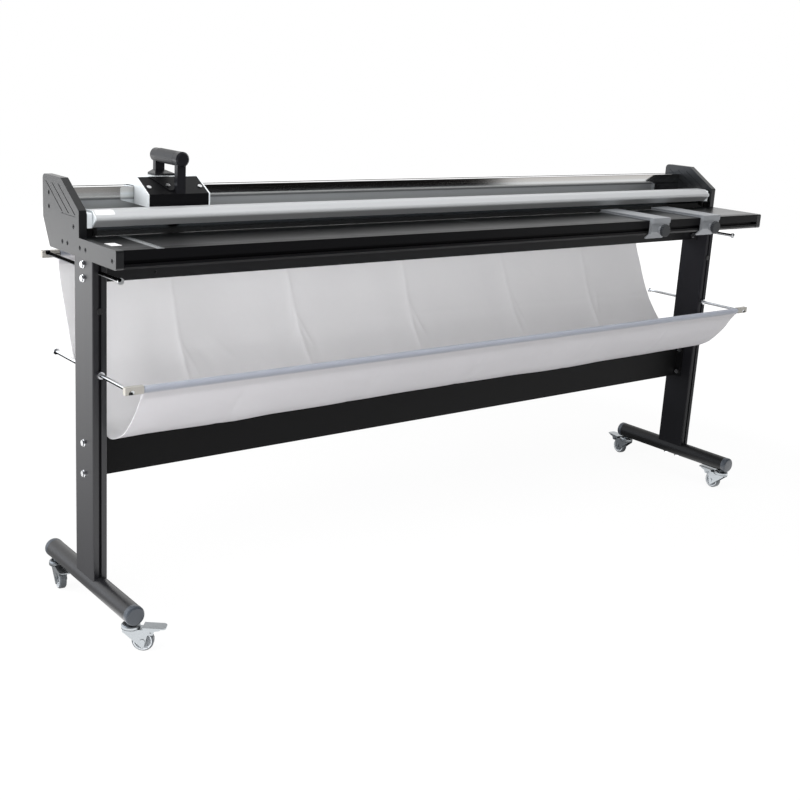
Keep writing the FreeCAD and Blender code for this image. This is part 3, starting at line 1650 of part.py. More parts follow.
doc.recompute()
faults = [item.Label for item in doc.Objects if "Invalid" in item.State or "Error" in item.State]
for node in nodes:
    if node.Shape.isNull() or not node.Shape.isValid() or not node.Shape.Solids:
        faults.append(node.Label + " has no valid solid")
for item in doc.Objects:
    if item.TypeId in ("PartDesign::Pocket", "PartDesign::Groove"):
        base = item.BaseFeature
        if base is None or item.Shape.Volume > base.Shape.Volume - 0.001:
            faults.append(item.Label + " cuts nothing")
if faults:
    raise RuntimeError("; ".join(faults))

os.makedirs("parts", exist_ok=True)
for node in nodes:
    node.Shape.exportStep("parts/%s.step" % node.Label)
print("%d nodes, %d solids" % (len(nodes), sum(len(node.Shape.Solids) for node in nodes)))
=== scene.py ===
import json
import math

import bpy
import numpy as np
from mathutils import Matrix, Vector


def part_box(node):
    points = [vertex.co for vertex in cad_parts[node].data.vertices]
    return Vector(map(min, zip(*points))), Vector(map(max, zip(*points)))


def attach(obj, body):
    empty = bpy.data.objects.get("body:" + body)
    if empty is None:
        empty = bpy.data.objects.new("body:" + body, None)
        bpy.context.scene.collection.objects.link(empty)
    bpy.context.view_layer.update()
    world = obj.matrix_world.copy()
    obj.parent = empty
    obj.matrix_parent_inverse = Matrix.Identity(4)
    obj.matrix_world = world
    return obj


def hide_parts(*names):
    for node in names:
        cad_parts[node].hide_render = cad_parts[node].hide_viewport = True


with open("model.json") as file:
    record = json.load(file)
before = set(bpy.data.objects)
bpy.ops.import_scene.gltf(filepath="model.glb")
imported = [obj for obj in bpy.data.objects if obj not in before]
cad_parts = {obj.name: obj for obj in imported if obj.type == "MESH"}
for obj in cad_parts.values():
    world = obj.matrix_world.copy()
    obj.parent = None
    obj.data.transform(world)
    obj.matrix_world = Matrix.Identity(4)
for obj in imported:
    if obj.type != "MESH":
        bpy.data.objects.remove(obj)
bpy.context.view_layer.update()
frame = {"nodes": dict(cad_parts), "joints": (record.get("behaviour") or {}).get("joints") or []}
nodes = frame["nodes"]


# Camera: stands in front of the left end, a little above the table, and looks slightly down
# along the machine. The photograph was cut off-centre, which the small shift follows.
PICTURE = 800  # side, focal length and optical axis in pixels of the photograph
FOCAL = 1199.0
AXIS_AT = (355.0, 365.0)
SENSOR = 36.0
STANDS_AT = (-2.1803, -2.4399, 1.3106)
HEADING, TILT, ROLL = (math.radians(angle) for angle in (37.41, 14.29, 3.01))
forward = Vector((math.sin(HEADING) * math.cos(TILT), math.cos(HEADING) * math.cos(TILT),
                  -math.sin(TILT)))
level = Vector((math.cos(HEADING), -math.sin(HEADING), 0))
above = level.cross(forward)
right = math.cos(ROLL) * level + math.sin(ROLL) * above
upward = -math.sin(ROLL) * level + math.cos(ROLL) * above
lens = bpy.data.cameras.new("camera")
lens.sensor_width = SENSOR
lens.lens = FOCAL / PICTURE * SENSOR
lens.shift_x = (PICTURE / 2 - AXIS_AT[0]) / PICTURE
lens.shift_y = (AXIS_AT[1] - PICTURE / 2) / PICTURE
lens.clip_end = 90
camera = bpy.data.objects.new("camera", lens)
turn = Matrix((right, upward, -forward)).transposed().to_4x4()
camera.matrix_world = Matrix.Translation(STANDS_AT) @ turn
bpy.context.scene.collection.objects.link(camera)
bpy.context.scene.camera = camera


# Studio: a white room with soft lamps overhead, in front and, high and low, at the left. Shiny
# faces see the white room behind the machine, slightly blue at the left, and in front of it a
# dim ceiling over the dark end where the camera stands.
def linear(code):
    """Turns an sRGB hex value to the linear colour that a shader takes."""
    channels = [int(code[i:i + 2], 16) / 255 for i in (1, 3, 5)]
    return [c / 12.92 if c <= 0.04045 else ((c + 0.055) / 1.055) ** 2.4 for c in channels] + [1.0]


def add_node(tree, kind, values=None, links=None, stops=(), **settings):
    """Adds a node with its settings, socket values, links from (node, output) pairs and, for a
    colour ramp, its stops as (place, sRGB hex) pairs in rising order."""
    node = tree.nodes.new(kind)
    for name, value in settings.items():
        setattr(node, name, value)
    for socket, value in (values or {}).items():
        node.inputs[socket].default_value = value
    for socket, (source, output) in (links or {}).items():
        tree.links.new(source.outputs[output], node.inputs[socket])
    for order, (place, code) in enumerate(stops):
        ramp = node.color_ramp.elements
        stop = ramp[order] if order < 2 else ramp.new(place)
        stop.position = place
        stop.color = linear(code)
    return node


scene = bpy.context.scene
scene.view_settings.view_transform = "Standard"
world = bpy.data.worlds.new("studio")
scene.world = world
world.use_nodes = True
air = world.node_tree
air.nodes.clear()
rays = add_node(air, "ShaderNodeLightPath")
aim = add_node(air, "ShaderNodeTexCoord")
way = add_node(air, "ShaderNodeSeparateXYZ", links={"Vector": (aim, "Generated")})
ceiling = add_node(air, "ShaderNodeValToRGB", links={"Fac": (way, "Z")},
                   stops=[(0.0, "#dcdcdc"), (0.12, "#ffffff"), (0.45, "#ffffff"), (0.86, "#dcdcdc"),
                          (1.0, "#8c8c8c")])
left_wall = add_node(air, "ShaderNodeMapRange",
                     {"From Min": -0.2, "From Max": -0.5, "To Min": 1.35, "To Max": 1.9},
                     {"Value": (way, "X")})
far_room = add_node(air, "ShaderNodeMath", links={0: (ceiling, "Color"), 1: (left_wall, 0)},
                    operation="MULTIPLY")
across = add_node(air, "ShaderNodeMapRange", {"From Min": -1.0, "From Max": 1.0}, {"Value": (way, "X")})
dark_end = add_node(air, "ShaderNodeValToRGB", links={"Fac": (across, 0)},
                    stops=[(0.0, "#a0a0a0"), (0.6, "#c2beb5"), (0.712, "#b2aca1"), (0.736, "#0e0e0e"),
                           (0.842, "#0e0e0e"), (0.848, "#f2f2f2"), (1.0, "#ffffff")])
low = add_node(air, "ShaderNodeMapRange",
               {"From Min": 0.03, "From Max": 0.2, "To Min": 1.0, "To Max": 0.0}, {"Value": (way, "Z")})
high = add_node(air, "ShaderNodeMapRange",
                {"From Min": 0.15, "From Max": 0.85, "To Min": 0.028, "To Max": 0.23},
                {"Value": (way, "Z")})
near_room = add_node(air, "ShaderNodeMix",
                     links={"Factor": (low, 0), "A": (high, 0), "B": (dark_end, "Color")})
is_far = add_node(air, "ShaderNodeMapRange", {"From Min": -0.12, "From Max": 0.12},
                  {"Value": (way, "Y")})
mirrored = add_node(air, "ShaderNodeMix",
                    links={"Factor": (is_far, 0), "A": (near_room, 0), "B": (far_room, 0)})
indirect = add_node(air, "ShaderNodeMix", {"A": 0.47},
                    {"Factor": (rays, "Is Glossy Ray"), "B": (mirrored, 0)})
plain = add_node(air, "ShaderNodeMath",
                 links={0: (rays, "Is Camera Ray"), 1: (rays, "Is Transmission Ray")},
                 operation="MAXIMUM")
strength = add_node(air, "ShaderNodeMix", {"B": 1.0}, {"Factor": (plain, 0), "A": (indirect, 0)})
cool = add_node(air, "ShaderNodeMapRange", {"From Min": -0.35, "From Max": -0.75}, {"Value": (way, "X")})
cool = add_node(air, "ShaderNodeMath", links={0: (cool, 0), 1: (rays, "Is Glossy Ray")},
                operation="MULTIPLY")
light_tone = add_node(air, "ShaderNodeMix", {"A": linear("#ffffff"), "B": linear("#ecf4ff")},
                      {"Factor": (cool, 0)}, data_type="RGBA")
sky = add_node(air, "ShaderNodeBackground",
               links={"Color": (light_tone, "Result"), "Strength": (strength, 0)})
add_node(air, "ShaderNodeOutputWorld", links={"Surface": (sky, 0)})


def soft_box(name, place, target, size, power):
    """A large lamp behind a diffuser, turned to its target and not mirrored in shiny faces."""
    light = bpy.data.lights.new(name, "AREA")
    light.shape = "RECTANGLE"
    light.size, light.size_y = size
    light.energy = power
    holder = bpy.data.objects.new(name, light)
    holder.location = place
    holder.rotation_euler = (Vector(target) - Vector(place)).to_track_quat("-Z", "Y").to_euler()
    holder.visible_glossy = False
    scene.collection.objects.link(holder)


soft_box("overhead", (-0.6, -1.4, 3.6), (-0.2, 0, 0.6), (4.0, 2.6), 84)
soft_box("left_panel", (-3.6, 1.2, 1.5), (-0.9, 0, 0.9), (2.6, 2.4), 110)
soft_box("front_fill", (-2.2, -4.2, 1.7), (-0.4, 0, 0.6), (2.4, 1.6), 66)
soft_box("left_low", (-3.3, -0.5, 0.8), (-0.9, 0, 0.6), (1.6, 1.0), 34)


# Floor: a sweep of white paper. It is plain white to the camera, with the machine's soft
# shadow, and what shiny faces mirror of it is brighter far behind the machine than under it.
FLOOR_SIDE = 14.0
bpy.ops.mesh.primitive_plane_add(size=FLOOR_SIDE)
floor = bpy.context.object
floor.name = "floor"
paper = bpy.data.materials.new("white_paper_sweep")
paper.use_nodes = True
tree = paper.node_tree
tree.nodes.clear()
rays = add_node(tree, "ShaderNodeLightPath")
place = add_node(tree, "ShaderNodeTexCoord")
behind = add_node(tree, "ShaderNodeVectorMath", {1: (-0.45, 0.89, 0.0)}, {0: (place, "Object")},
                  operation="DOT_PRODUCT")
rear_glow = add_node(tree, "ShaderNodeMapRange",
                     {"From Min": 0.9, "From Max": 7.3, "To Min": 0.7, "To Max": 4.0},
                     {"Value": (behind, "Value")})
spot = add_node(tree, "ShaderNodeSeparateXYZ", links={"Vector": (place, "Object")})
beside = add_node(tree, "ShaderNodeMapRange",
                  {"From Min": -1.3, "From Max": -0.8, "To Min": 1.0, "To Max": 0.2},
                  {"Value": (spot, "X")})
deep = add_node(tree, "ShaderNodeMapRange", {"From Min": 1.2, "From Max": 2.6}, {"Value": (spot, "Y")})
rear_shade = add_node(tree, "ShaderNodeMath", links={0: (beside, 0), 1: (deep, 0)}, operation="MAXIMUM")
rear_glow = add_node(tree, "ShaderNodeMath", links={0: (rear_glow, 0), 1: (rear_shade, 0)},
                     operation="MULTIPLY")
front_glow = add_node(tree, "ShaderNodeMapRange",
                      {"From Min": -2.6, "From Max": -1.0, "To Min": 0.08, "To Max": 2.2},
                      {"Value": (spot, "Y")})
in_front = add_node(tree, "ShaderNodeMapRange", {"From Min": 0.1, "From Max": -0.1},
                    {"Value": (spot, "Y")})
shown = add_node(tree, "ShaderNodeMix",
                 links={"Factor": (in_front, 0), "A": (rear_glow, 0), "B": (front_glow, 0)})
glow_level = add_node(tree, "ShaderNodeMix", {"A": 1.18},
                      {"Factor": (rays, "Is Glossy Ray"), "B": (shown, 0)})
reach = add_node(tree, "ShaderNodeVectorMath", links={0: (place, "Object")}, operation="LENGTH")
shaded = add_node(tree, "ShaderNodeMapRange",
                  {"From Min": 1.6, "From Max": 4.0, "To Min": 0.78, "To Max": 1.0},
                  {"Value": (reach, "Value")})
seen = add_node(tree, "ShaderNodeMath", links={0: (rays, "Is Camera Ray"), 1: (shaded, 0)},
                operation="MULTIPLY")
bright = add_node(tree, "ShaderNodeMath", {1: 0.9}, {0: (rays, "Is Glossy Ray")}, operation="MULTIPLY")
seen = add_node(tree, "ShaderNodeMath", links={0: (seen, 0), 1: (bright, 0)}, operation="MAXIMUM")
seen = add_node(tree, "ShaderNodeMath", links={0: (seen, 0), 1: (rays, "Is Transmission Ray")},
                operation="MAXIMUM")
matte = add_node(tree, "ShaderNodeBsdfDiffuse", {"Color": linear("#a4a4a4")})
glow = add_node(tree, "ShaderNodeEmission", {"Color": linear("#ffffff")}, {"Strength": (glow_level, 0)})
blend = add_node(tree, "ShaderNodeMixShader", links={0: (seen, 0), 1: (matte, 0), 2: (glow, 0)})
add_node(tree, "ShaderNodeOutputMaterial", links={"Surface": (blend, 0)})
floor.data.materials.append(paper)


# Foot tubes: 46 mm round steel tube under a smooth black powder coat, whose orange peel has
# bumps of about a millimetre. Everything else stands on them.
def new_material(name):
    """A material, its empty tree, and the object's own coordinates in metres."""
    material = bpy.data.materials.new(name)
    material.use_nodes = True
    tree = material.node_tree
    tree.nodes.clear()
    return material, tree, (add_node(tree, "ShaderNodeTexCoord"), "Object")


def give_surface(material, values, links):
    """Ends a material with its shader, which takes these values and links, and returns it."""
    shader = add_node(material.node_tree, "ShaderNodeBsdfPrincipled", values, links)
    add_node(material.node_tree, "ShaderNodeOutputMaterial", links={"Surface": (shader, 0)})
    return material


def wear(names, material):
    """Gives CAD nodes their material."""
    for name in names:
        mesh = nodes[name].data
        mesh.materials.clear()
        mesh.materials.append(material)


def textured(tree, pattern, strength, depth, shiny, dull):
    """How a pattern stands out and breaks up the shine, as links of the shader."""
    relief = add_node(tree, "ShaderNodeBump", {"Strength": strength, "Distance": depth},
                      {"Height": pattern})
    matt = add_node(tree, "ShaderNodeMapRange", {"To Min": shiny, "To Max": dull}, {"Value": pattern})
    return {"Normal": (relief, 0), "Roughness": (matt, 0)}


def powder_coat(name, colour, dust, roughness, specular):
    """Baked paint: orange peel of about 1 mm, and a faint grey bloom where hands and dust were."""
    material, tree, place = new_material(name)
    drift = add_node(tree, "ShaderNodeTexNoise", {"Scale": 6.0, "Detail": 4.0}, {"Vector": place})
    bloom = add_node(tree, "ShaderNodeMapRange", {"From Min": 0.45, "From Max": 0.75, "To Max": 0.3},
                     {"Value": (drift, 0)})
    tone = add_node(tree, "ShaderNodeMix", {"A": linear(colour), "B": linear(dust)},
                    {"Factor": (bloom, 0)}, data_type="RGBA")
    peel = add_node(tree, "ShaderNodeTexNoise", {"Scale": 900.0, "Detail": 2.0}, {"Vector": place})
    finish = textured(tree, (peel, 0), 0.2, 0.0003, roughness - 0.05, roughness + 0.08)
    return give_surface(material, {"Specular IOR Level": specular},
                        {"Base Color": (tone, "Result"), **finish})


wear(["foot_tube_left"], powder_coat("powder_coated_round_tube", "#1a1a1c", "#262628", 0.34, 0.5))
# The right tube is a duller copy of the same coat with a darker colour, which is painted shade.
wear(["foot_tube_right"], powder_coat("duller_tube_painted_shade", "#131314", "#1d1d1e", 0.42, 0.2))


# Foot caps: injection-moulded blue-grey plastic with the mould's fine grain. They slip over the
# tubes' ends and are well rounded at the rim.
CAP_WALL = 0.0004
CAP_LENGTH = 0.020
CAP_ROUNDING = 0.006


def mottled(tree, colour, pattern, darkest, lightest):
    """A colour that a pattern makes darker and lighter, as a link of the shader."""
    tint = add_node(tree, "ShaderNodeMapRange", {"To Min": darkest, "To Max": lightest},
                    {"Value": pattern})
    tone = add_node(tree, "ShaderNodeVectorMath", {0: linear(colour)[:3]}, {"Scale": (tint, 0)},
                    operation="SCALE")
    return tone, 0


def moulded_plastic(name, colour, roughness, grain=1400.0):
    """Faint clouds from the mould's filling, and its grain, which is drawn at about 0.7 mm, where
    the real one is near 0.1 mm, so that it shows."""
    material, tree, place = new_material(name)
    speck = add_node(tree, "ShaderNodeTexNoise", {"Scale": grain, "Detail": 1.0}, {"Vector": place})
    flow = add_node(tree, "ShaderNodeTexNoise", {"Scale": 30.0, "Detail": 2.0}, {"Vector": place})
    finish = textured(tree, (speck, 0), 0.2, 0.0002, roughness - 0.04, roughness + 0.06)
    return give_surface(material, {},
                        {"Base Color": mottled(tree, colour, (flow, 0), 0.93, 1.06), **finish})


def finish_mesh(piece, *modifiers):
    """Applies modifiers, given as (kind, settings), and shades the piece smooth."""
    bpy.ops.object.select_all(action="DESELECT")
    bpy.context.view_layer.objects.active = piece
    piece.select_set(True)
    for kind, settings in modifiers:
        modifier = piece.modifiers.new(kind.lower(), kind)
        for name, value in settings.items():
            setattr(modifier, name, value)
        bpy.ops.object.modifier_apply(modifier=modifier.name)
    bpy.ops.object.shade_smooth_by_angle(angle=math.radians(40))


def rounded_caps(name):
    """One cap at each end of both tubes, shaped like a shallow cup with a soft rim."""
    bottom, top = (corner.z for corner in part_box("foot_tube_left"))
    tube_radius = (top - bottom) / 2
    (_, front, _), (right, rear, _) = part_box("foot_caps")
    side = right - tube_radius
    bpy.ops.object.select_all(action="DESELECT")
    bpy.ops.mesh.primitive_cylinder_add(location=(0, 0, 0))
    caps = bpy.context.object
    caps.name = name
    bpy.ops.object.mode_set(mode="EDIT")
    bpy.ops.mesh.select_all(action="SELECT")
    bpy.ops.mesh.delete(type="VERT")
    for x in (-side, side):
        for y in (front + CAP_LENGTH / 2, rear - CAP_LENGTH / 2):
            bpy.ops.mesh.primitive_cylinder_add(
                vertices=72, radius=tube_radius + CAP_WALL, depth=CAP_LENGTH,
                rotation=(math.radians(90), 0, 0), location=(x, y, (bottom + top) / 2))
    bpy.ops.object.mode_set(mode="OBJECT")
    finish_mesh(caps, ("BEVEL", {"width": CAP_ROUNDING, "segments": 6, "limit_method": "ANGLE",
                                 "angle_limit": math.radians(45)}))
    caps.data.materials.append(moulded_plastic("moulded_blue_grey_abs", "#393e45", 0.36))
    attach(caps, "stand")
    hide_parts("foot_caps")


rounded_caps("rounded_foot_caps")


# Castors: pressed forks and pedals in bright zinc, on threaded stems. The wheels are two-tone
# plastic: a grey tyre, a pale rim ring and a darker web round the hub.
CORNERS = ("front_left", "rear_left", "front_right", "rear_right")
WHEEL_RADIUS = 0.025


def plated_steel(name, colour, roughness):
    """Bright plating, whose crystals only show as soft clouds of about 6 mm in the shine."""
    material, tree, place = new_material(name)
    cloud = add_node(tree, "ShaderNodeTexNoise", {"Scale": 160.0, "Detail": 3.0}, {"Vector": place})
    matt = add_node(tree, "ShaderNodeMapRange", {"To Min": roughness - 0.08, "To Max": roughness + 0.12},
                    {"Value": (cloud, 0)})
    tone = mottled(tree, colour, (cloud, 0), 0.88, 1.05)
    return give_surface(material, {"Metallic": 1.0}, {"Base Color": tone, "Roughness": (matt, 0)})


zinc = plated_steel("zinc_plated_steel", "#a3a7aa", 0.4)
wear(["castor_stems"], zinc)
for corner in CORNERS:
    wear(["castor_fork_" + corner, "castor_brake_" + corner], zinc)


def wheel_plastic(name, middle, axle):
    """Rings of colour round the wheel's own axle, under dust in spots of about 4 mm."""
    material, tree, place = new_material(name)
    spoke = add_node(tree, "ShaderNodeVectorMath", {1: middle}, {0: place}, operation="SUBTRACT")
    turned = add_node(tree, "ShaderNodeVectorMath", {1: axle}, {0: (spoke, 0)},
                      operation="CROSS_PRODUCT")
    radius = add_node(tree, "ShaderNodeVectorMath", links={0: (turned, 0)}, operation="LENGTH")
    share = add_node(tree, "ShaderNodeMath", {1: WHEEL_RADIUS}, {0: (radius, "Value")},
                     operation="DIVIDE")
    rings = add_node(tree, "ShaderNodeValToRGB", links={"Fac": (share, 0)},
                     stops=[(0.0, "#c8ccd0"), (0.28, "#c8ccd0"), (0.30, "#84888c"), (0.70, "#8d9195"),
                            (0.72, "#ccd0d4"), (0.84, "#ccd0d4"), (0.86, "#5e6266"), (1.0, "#5a5e62")])
    dust = add_node(tree, "ShaderNodeTexNoise", {"Scale": 260.0, "Detail": 3.0}, {"Vector": place})
    finish = textured(tree, (dust, 0), 0.15, 0.0002, 0.4, 0.6)
    return give_surface(material, {}, {"Base Color": (rings, "Color"), **finish})


rolls = {joint["name"]: joint for joint in frame["joints"]}
for corner in CORNERS:
    roll = rolls["castor_%s_roll" % corner]
    wear(["castor_wheel_" + corner],
         wheel_plastic("castor_wheel_plastic_" + corner, roll["pos_m"], roll["axis"]))


# Legs: 35 by 95 mm aluminium extrusions, anodised satin black, so they keep fine die lines
# up their length and a soft shine. Black plugs close the front slots, zinc bolts hold them.
def lines_along(tree, place, scale):
    """A pattern stretched to fine lines by its scale along each axis, as a link."""
    stretch = add_node(tree, "ShaderNodeMapping", {"Scale": scale}, {"Vector": place})
    lines = add_node(tree, "ShaderNodeTexNoise", {"Scale": 1.0, "Detail": 2.0}, {"Vector": (stretch, 0)})
    return lines, 0


def drawn_black(name, colour, roughness, specular, run, low=1.0):
    """Black anodising over the die's lines, which run along one axis and are drawn a millimetre
    apart so that they show. Low is the share of its tone that is left near the floor, a painted
    shade that darkens it downwards."""
    material, tree, place = new_material(name)
    lines = lines_along(tree, place, [4.0 if axis == run else 900.0 for axis in "XYZ"])
    split = add_node(tree, "ShaderNodeSeparateXYZ", links={"Vector": place})
    painted_floor_shade = add_node(tree, "ShaderNodeMapRange",
                    {"From Min": 0.2, "From Max": 0.8, "To Min": low, "To Max": 1.0},
                    {"Value": (split, "Z")})
    # Painted shade: the tone falls to the share low towards the floor.
    tone = add_node(tree, "ShaderNodeVectorMath", operation="SCALE",
                    links={0: mottled(tree, colour, lines, 0.85, 1.12), "Scale": (painted_floor_shade, 0)})
    finish = textured(tree, lines, 0.1, 0.0002, roughness - 0.05, roughness + 0.07)
    return give_surface(material, {"Specular IOR Level": specular}, {"Base Color": (tone, 0), **finish})


wear(["leg_left"], drawn_black("black_anodised_extrusion", "#1d1d20", 0.34, 0.45, "Z"))
# The right leg is a duller copy whose tone fades to a quarter near the floor: painted shade.
wear(["leg_right"], drawn_black("duller_extrusion_painted_shade", "#2a2a2e", 0.46, 0.1, "Z", low=0.25))
black_abs = moulded_plastic("moulded_black_abs", "#131315", 0.38)
wear(["leg_plugs"], black_abs)
bright_zinc = plated_steel("bright_zinc_screw", "#f0f1f3", 0.26)
wear(["leg_bolts"], bright_zinc)


# Cross beams: folded sheet steel, 3 mm thick, bolted between the legs. Both have a matt black
# powder coat, and the upper one looks a little greyer.
wear(["lower_beam"], powder_coat("matt_powder_coated_steel", "#0b0b0c", "#121213", 0.6, 0.11))
wear(["upper_beam"], powder_coat("grey_black_powder_coat", "#1d1d1f", "#27272a", 0.5, 0.25))


# Table: folded sheet steel with a satin black coat, closed in front by a slotted aluminium
# extrusion and carried behind by the cutting bed with its hardened counter-blade.
SCRIBED_LINE = -0.0085


def table_coat(name):
    """Satin coat with orange peel of about 1 mm, and one fine pale line scribed across the table,
    square to the cut."""
    material, tree, place = new_material(name)
    drift = add_node(tree, "ShaderNodeTexNoise", {"Scale": 5.0, "Detail": 4.0}, {"Vector": place})
    peel = add_node(tree, "ShaderNodeTexNoise", {"Scale": 900.0, "Detail": 2.0}, {"Vector": place})
    relief = add_node(tree, "ShaderNodeBump", {"Strength": 0.12, "Distance": 0.0002},
                      {"Height": (peel, 0)})
    matt = add_node(tree, "ShaderNodeMapRange", {"To Min": 0.24, "To Max": 0.36}, {"Value": (drift, 0)})
    split = add_node(tree, "ShaderNodeSeparateXYZ", links={"Vector": place})
    near = add_node(tree, "ShaderNodeMath", {1: SCRIBED_LINE}, {0: (split, "X")}, operation="SUBTRACT")
    near = add_node(tree, "ShaderNodeMath", links={0: (near, 0)}, operation="ABSOLUTE")
    line = add_node(tree, "ShaderNodeMapRange",
                    {"From Min": 0.0006, "From Max": 0.0009, "To Min": 1.0, "To Max": 0.0},
                    {"Value": (near, 0)})
    tone = add_node(tree, "ShaderNodeMix", {"A": linear("#08090a"), "B": linear("#5e6062")},
                    {"Factor": (line, 0)}, data_type="RGBA")
    return give_surface(material, {"Specular IOR Level": 0.24},
                        {"Base Color": (tone, "Result"), "Roughness": (matt, 0), "Normal": (relief, 0)})


wear(["table_top", "cutting_bed"], table_coat("satin_black_table_coat"))
wear(["front_profile"], drawn_black("satin_black_front_extrusion", "#08080a", 0.36, 0.15, "X"))
ground_steel = plated_steel("ground_steel", "#b4b6b8", 0.22)
wear(["counter_blade"], ground_steel)


# Ruler: a strip of brushed steel let into the table, etched with a millimetre scale that
# starts at the cut. Every fifth line is longer and every tenth the full width.
(ruler_left, _, _), (ruler_right, ruler_start, _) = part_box("ruler_strip")
ruler_middle = (ruler_left + ruler_right) / 2
ruler_half = (ruler_right - ruler_left) / 2
RULE_LINES = ((1.0, 0.62), (5.0, 0.4), (10.0, 0.0))
LINE_WIDE = 0.35


def etched_ruler(name):
    """Lines by their spacing in millimetres and the share of the width that they leave free. The
    brushing runs along the strip, drawn at about 0.6 mm so that it shows."""
    material, tree, place = new_material(name)
    split = add_node(tree, "ShaderNodeSeparateXYZ", links={"Vector": place})
    down = add_node(tree, "ShaderNodeMath", {1: -1000.0, 2: ruler_start * 1000}, {0: (split, "Y")},
                    operation="MULTIPLY_ADD")
    side = add_node(tree, "ShaderNodeMath", {1: ruler_middle}, {0: (split, "X")}, operation="SUBTRACT")
    marks = []
    for step, start in RULE_LINES:
        into = add_node(tree, "ShaderNodeMath", {1: step}, {0: (down, 0)}, operation="MODULO")
        on_line = add_node(tree, "ShaderNodeMath", {1: LINE_WIDE}, {0: (into, 0)}, operation="LESS_THAN")
        wide = add_node(tree, "ShaderNodeMath", {1: ruler_half * (start * 2 - 1)}, {0: (side, 0)},
                        operation="GREATER_THAN")
        marks.append(add_node(tree, "ShaderNodeMath", links={0: (on_line, 0), 1: (wide, 0)},
                              operation="MULTIPLY"))
    scale_mark = marks[0]
    for mark in marks[1:]:
        scale_mark = add_node(tree, "ShaderNodeMath", links={0: (scale_mark, 0), 1: (mark, 0)},
                              operation="MAXIMUM")
    brush = lines_along(tree, place, (1800.0, 20.0, 900.0))
    matt = add_node(tree, "ShaderNodeMapRange", {"To Min": 0.32, "To Max": 0.5}, {"Value": brush})
    tone = add_node(tree, "ShaderNodeMix", {"A": linear("#c3c6c8"), "B": linear("#1c1c1e")},
                    {"Factor": (scale_mark, 0)}, data_type="RGBA")
    return give_surface(material, {"Metallic": 1.0},
                        {"Base Color": (tone, "Result"), "Roughness": (matt, 0)})


wear(["ruler_strip"], etched_ruler("etched_steel_rule"))


# End plates: 18 mm plates moulded in glass-filled black nylon, which takes a satin shine that
# turns grey at a flat angle. The socket screws sit deep in their bores and are coloured near
# black, a painted shade of the bores.
wear(["end_plate_left", "end_plate_right"],
     powder_coat("moulded_black_nylon", "#0d0e10", "#151619", 0.34, 0.6))
wear(["plate_screws"], plated_steel("socket_steel_painted_bore_shade", "#2c2d30", 0.25))


# Guide rail: a hollow aluminium extrusion that carries the cutter head. Its front is polished
# and mirrors the room, and long bands of painted reflection run along it in its colour. Its
# rear is left as it was drawn.
# Heights over which the painted reflection bands run, and the bands as (share, sRGB).
BANDS_FROM, BANDS_TO = 0.950, 1.0
PAINTED_RAIL_REFLECTIONS = [(0.0, "#f4f4f2"), (0.22, "#ffffff"), (0.33, "#ffffff"), (0.37, "#b4b4b4"),
              (0.41, "#b4b4b4"), (0.48, "#f8f6f2"), (0.62, "#ffffff"), (0.74, "#eeeae6"),
              (0.93, "#e6e0dc"), (0.97, "#ffffff")]
ALONG_RAIL = (3.0, 900.0, 900.0)


def polished_rail(name):
    """Mirror polish in front, with bands of painted reflection in its colour by height, and a
    duller and darker face at the rear. The die's lines are drawn a millimetre apart so that they show."""
    material, tree, place = new_material(name)
    lines = lines_along(tree, place, ALONG_RAIL)
    finish = textured(tree, lines, 0.02, 0.0002, 0.02, 0.11)
    split = add_node(tree, "ShaderNodeSeparateXYZ", links={"Vector": place})
    up = add_node(tree, "ShaderNodeMapRange", {"From Min": BANDS_FROM, "From Max": BANDS_TO},
                  {"Value": (split, "Z")})
    # Painted reflection: lighter, darker and beige bands by height multiply the colour.
    bands = add_node(tree, "ShaderNodeValToRGB", links={"Fac": (up, 0)}, stops=PAINTED_RAIL_REFLECTIONS)
    tone = add_node(tree, "ShaderNodeMix", {"Factor": 1.0},
                    {"A": mottled(tree, "#e0e2e3", lines, 0.94, 1.03), "B": (bands, "Color")},
                    data_type="RGBA", blend_type="MULTIPLY")
    faces = add_node(tree, "ShaderNodeNewGeometry")
    facing = add_node(tree, "ShaderNodeSeparateXYZ", links={"Vector": (faces, "Normal")})
    rear = add_node(tree, "ShaderNodeMath", {1: 0.7}, {0: (facing, "Y")}, operation="GREATER_THAN")
    tone = add_node(tree, "ShaderNodeMix", {"B": linear("#6f7173")},
                    {"Factor": (rear, 0), "A": (tone, "Result")}, data_type="RGBA")
    matt = add_node(tree, "ShaderNodeMath", {1: 0.34}, {0: (rear, 0), 2: finish["Roughness"]},
                    operation="MULTIPLY_ADD")
    return give_surface(material, {"Metallic": 1.0}, {"Base Color": (tone, "Result"),
                                                      "Roughness": (matt, 0), "Normal": finish["Normal"]})


wear(["guide_rail"], polished_rail("polished_aluminium_rail"))


# Clamp: a hollow satin-anodised bar that presses the paper down, with silver end caps that
# ride on springs in guide blocks, and a strip of clear plastic below it with rubber ends. The
# strip is tinted near black, a painted shade of the dark under the clamp.
GUIDE_BLACK_BELOW = 0.9235
GUIDE_INSIDE = 1.0765
PAD_SPANS = ((-1.0605, -1.0523), (-0.009, 0.012), (0.9057, 0.9237))


def drawn_aluminium(name, colour, roughness):
    """Satin anodising over lines like the rail's. It hides much of the metal's shine."""
    material, tree, place = new_material(name)
    lines = lines_along(tree, place, ALONG_RAIL)
    finish = textured(tree, lines, 0.1, 0.0002, roughness - 0.05, roughness + 0.06)
    return give_surface(material, {"Metallic": 0.35},
                        {"Base Color": mottled(tree, colour, lines, 0.94, 1.03), **finish})


satin = drawn_aluminium("satin_anodised_aluminium", "#c6c8ca", 0.5)
wear(["clamp_tube"], satin)
wear(["clamp_springs"], ground_steel)


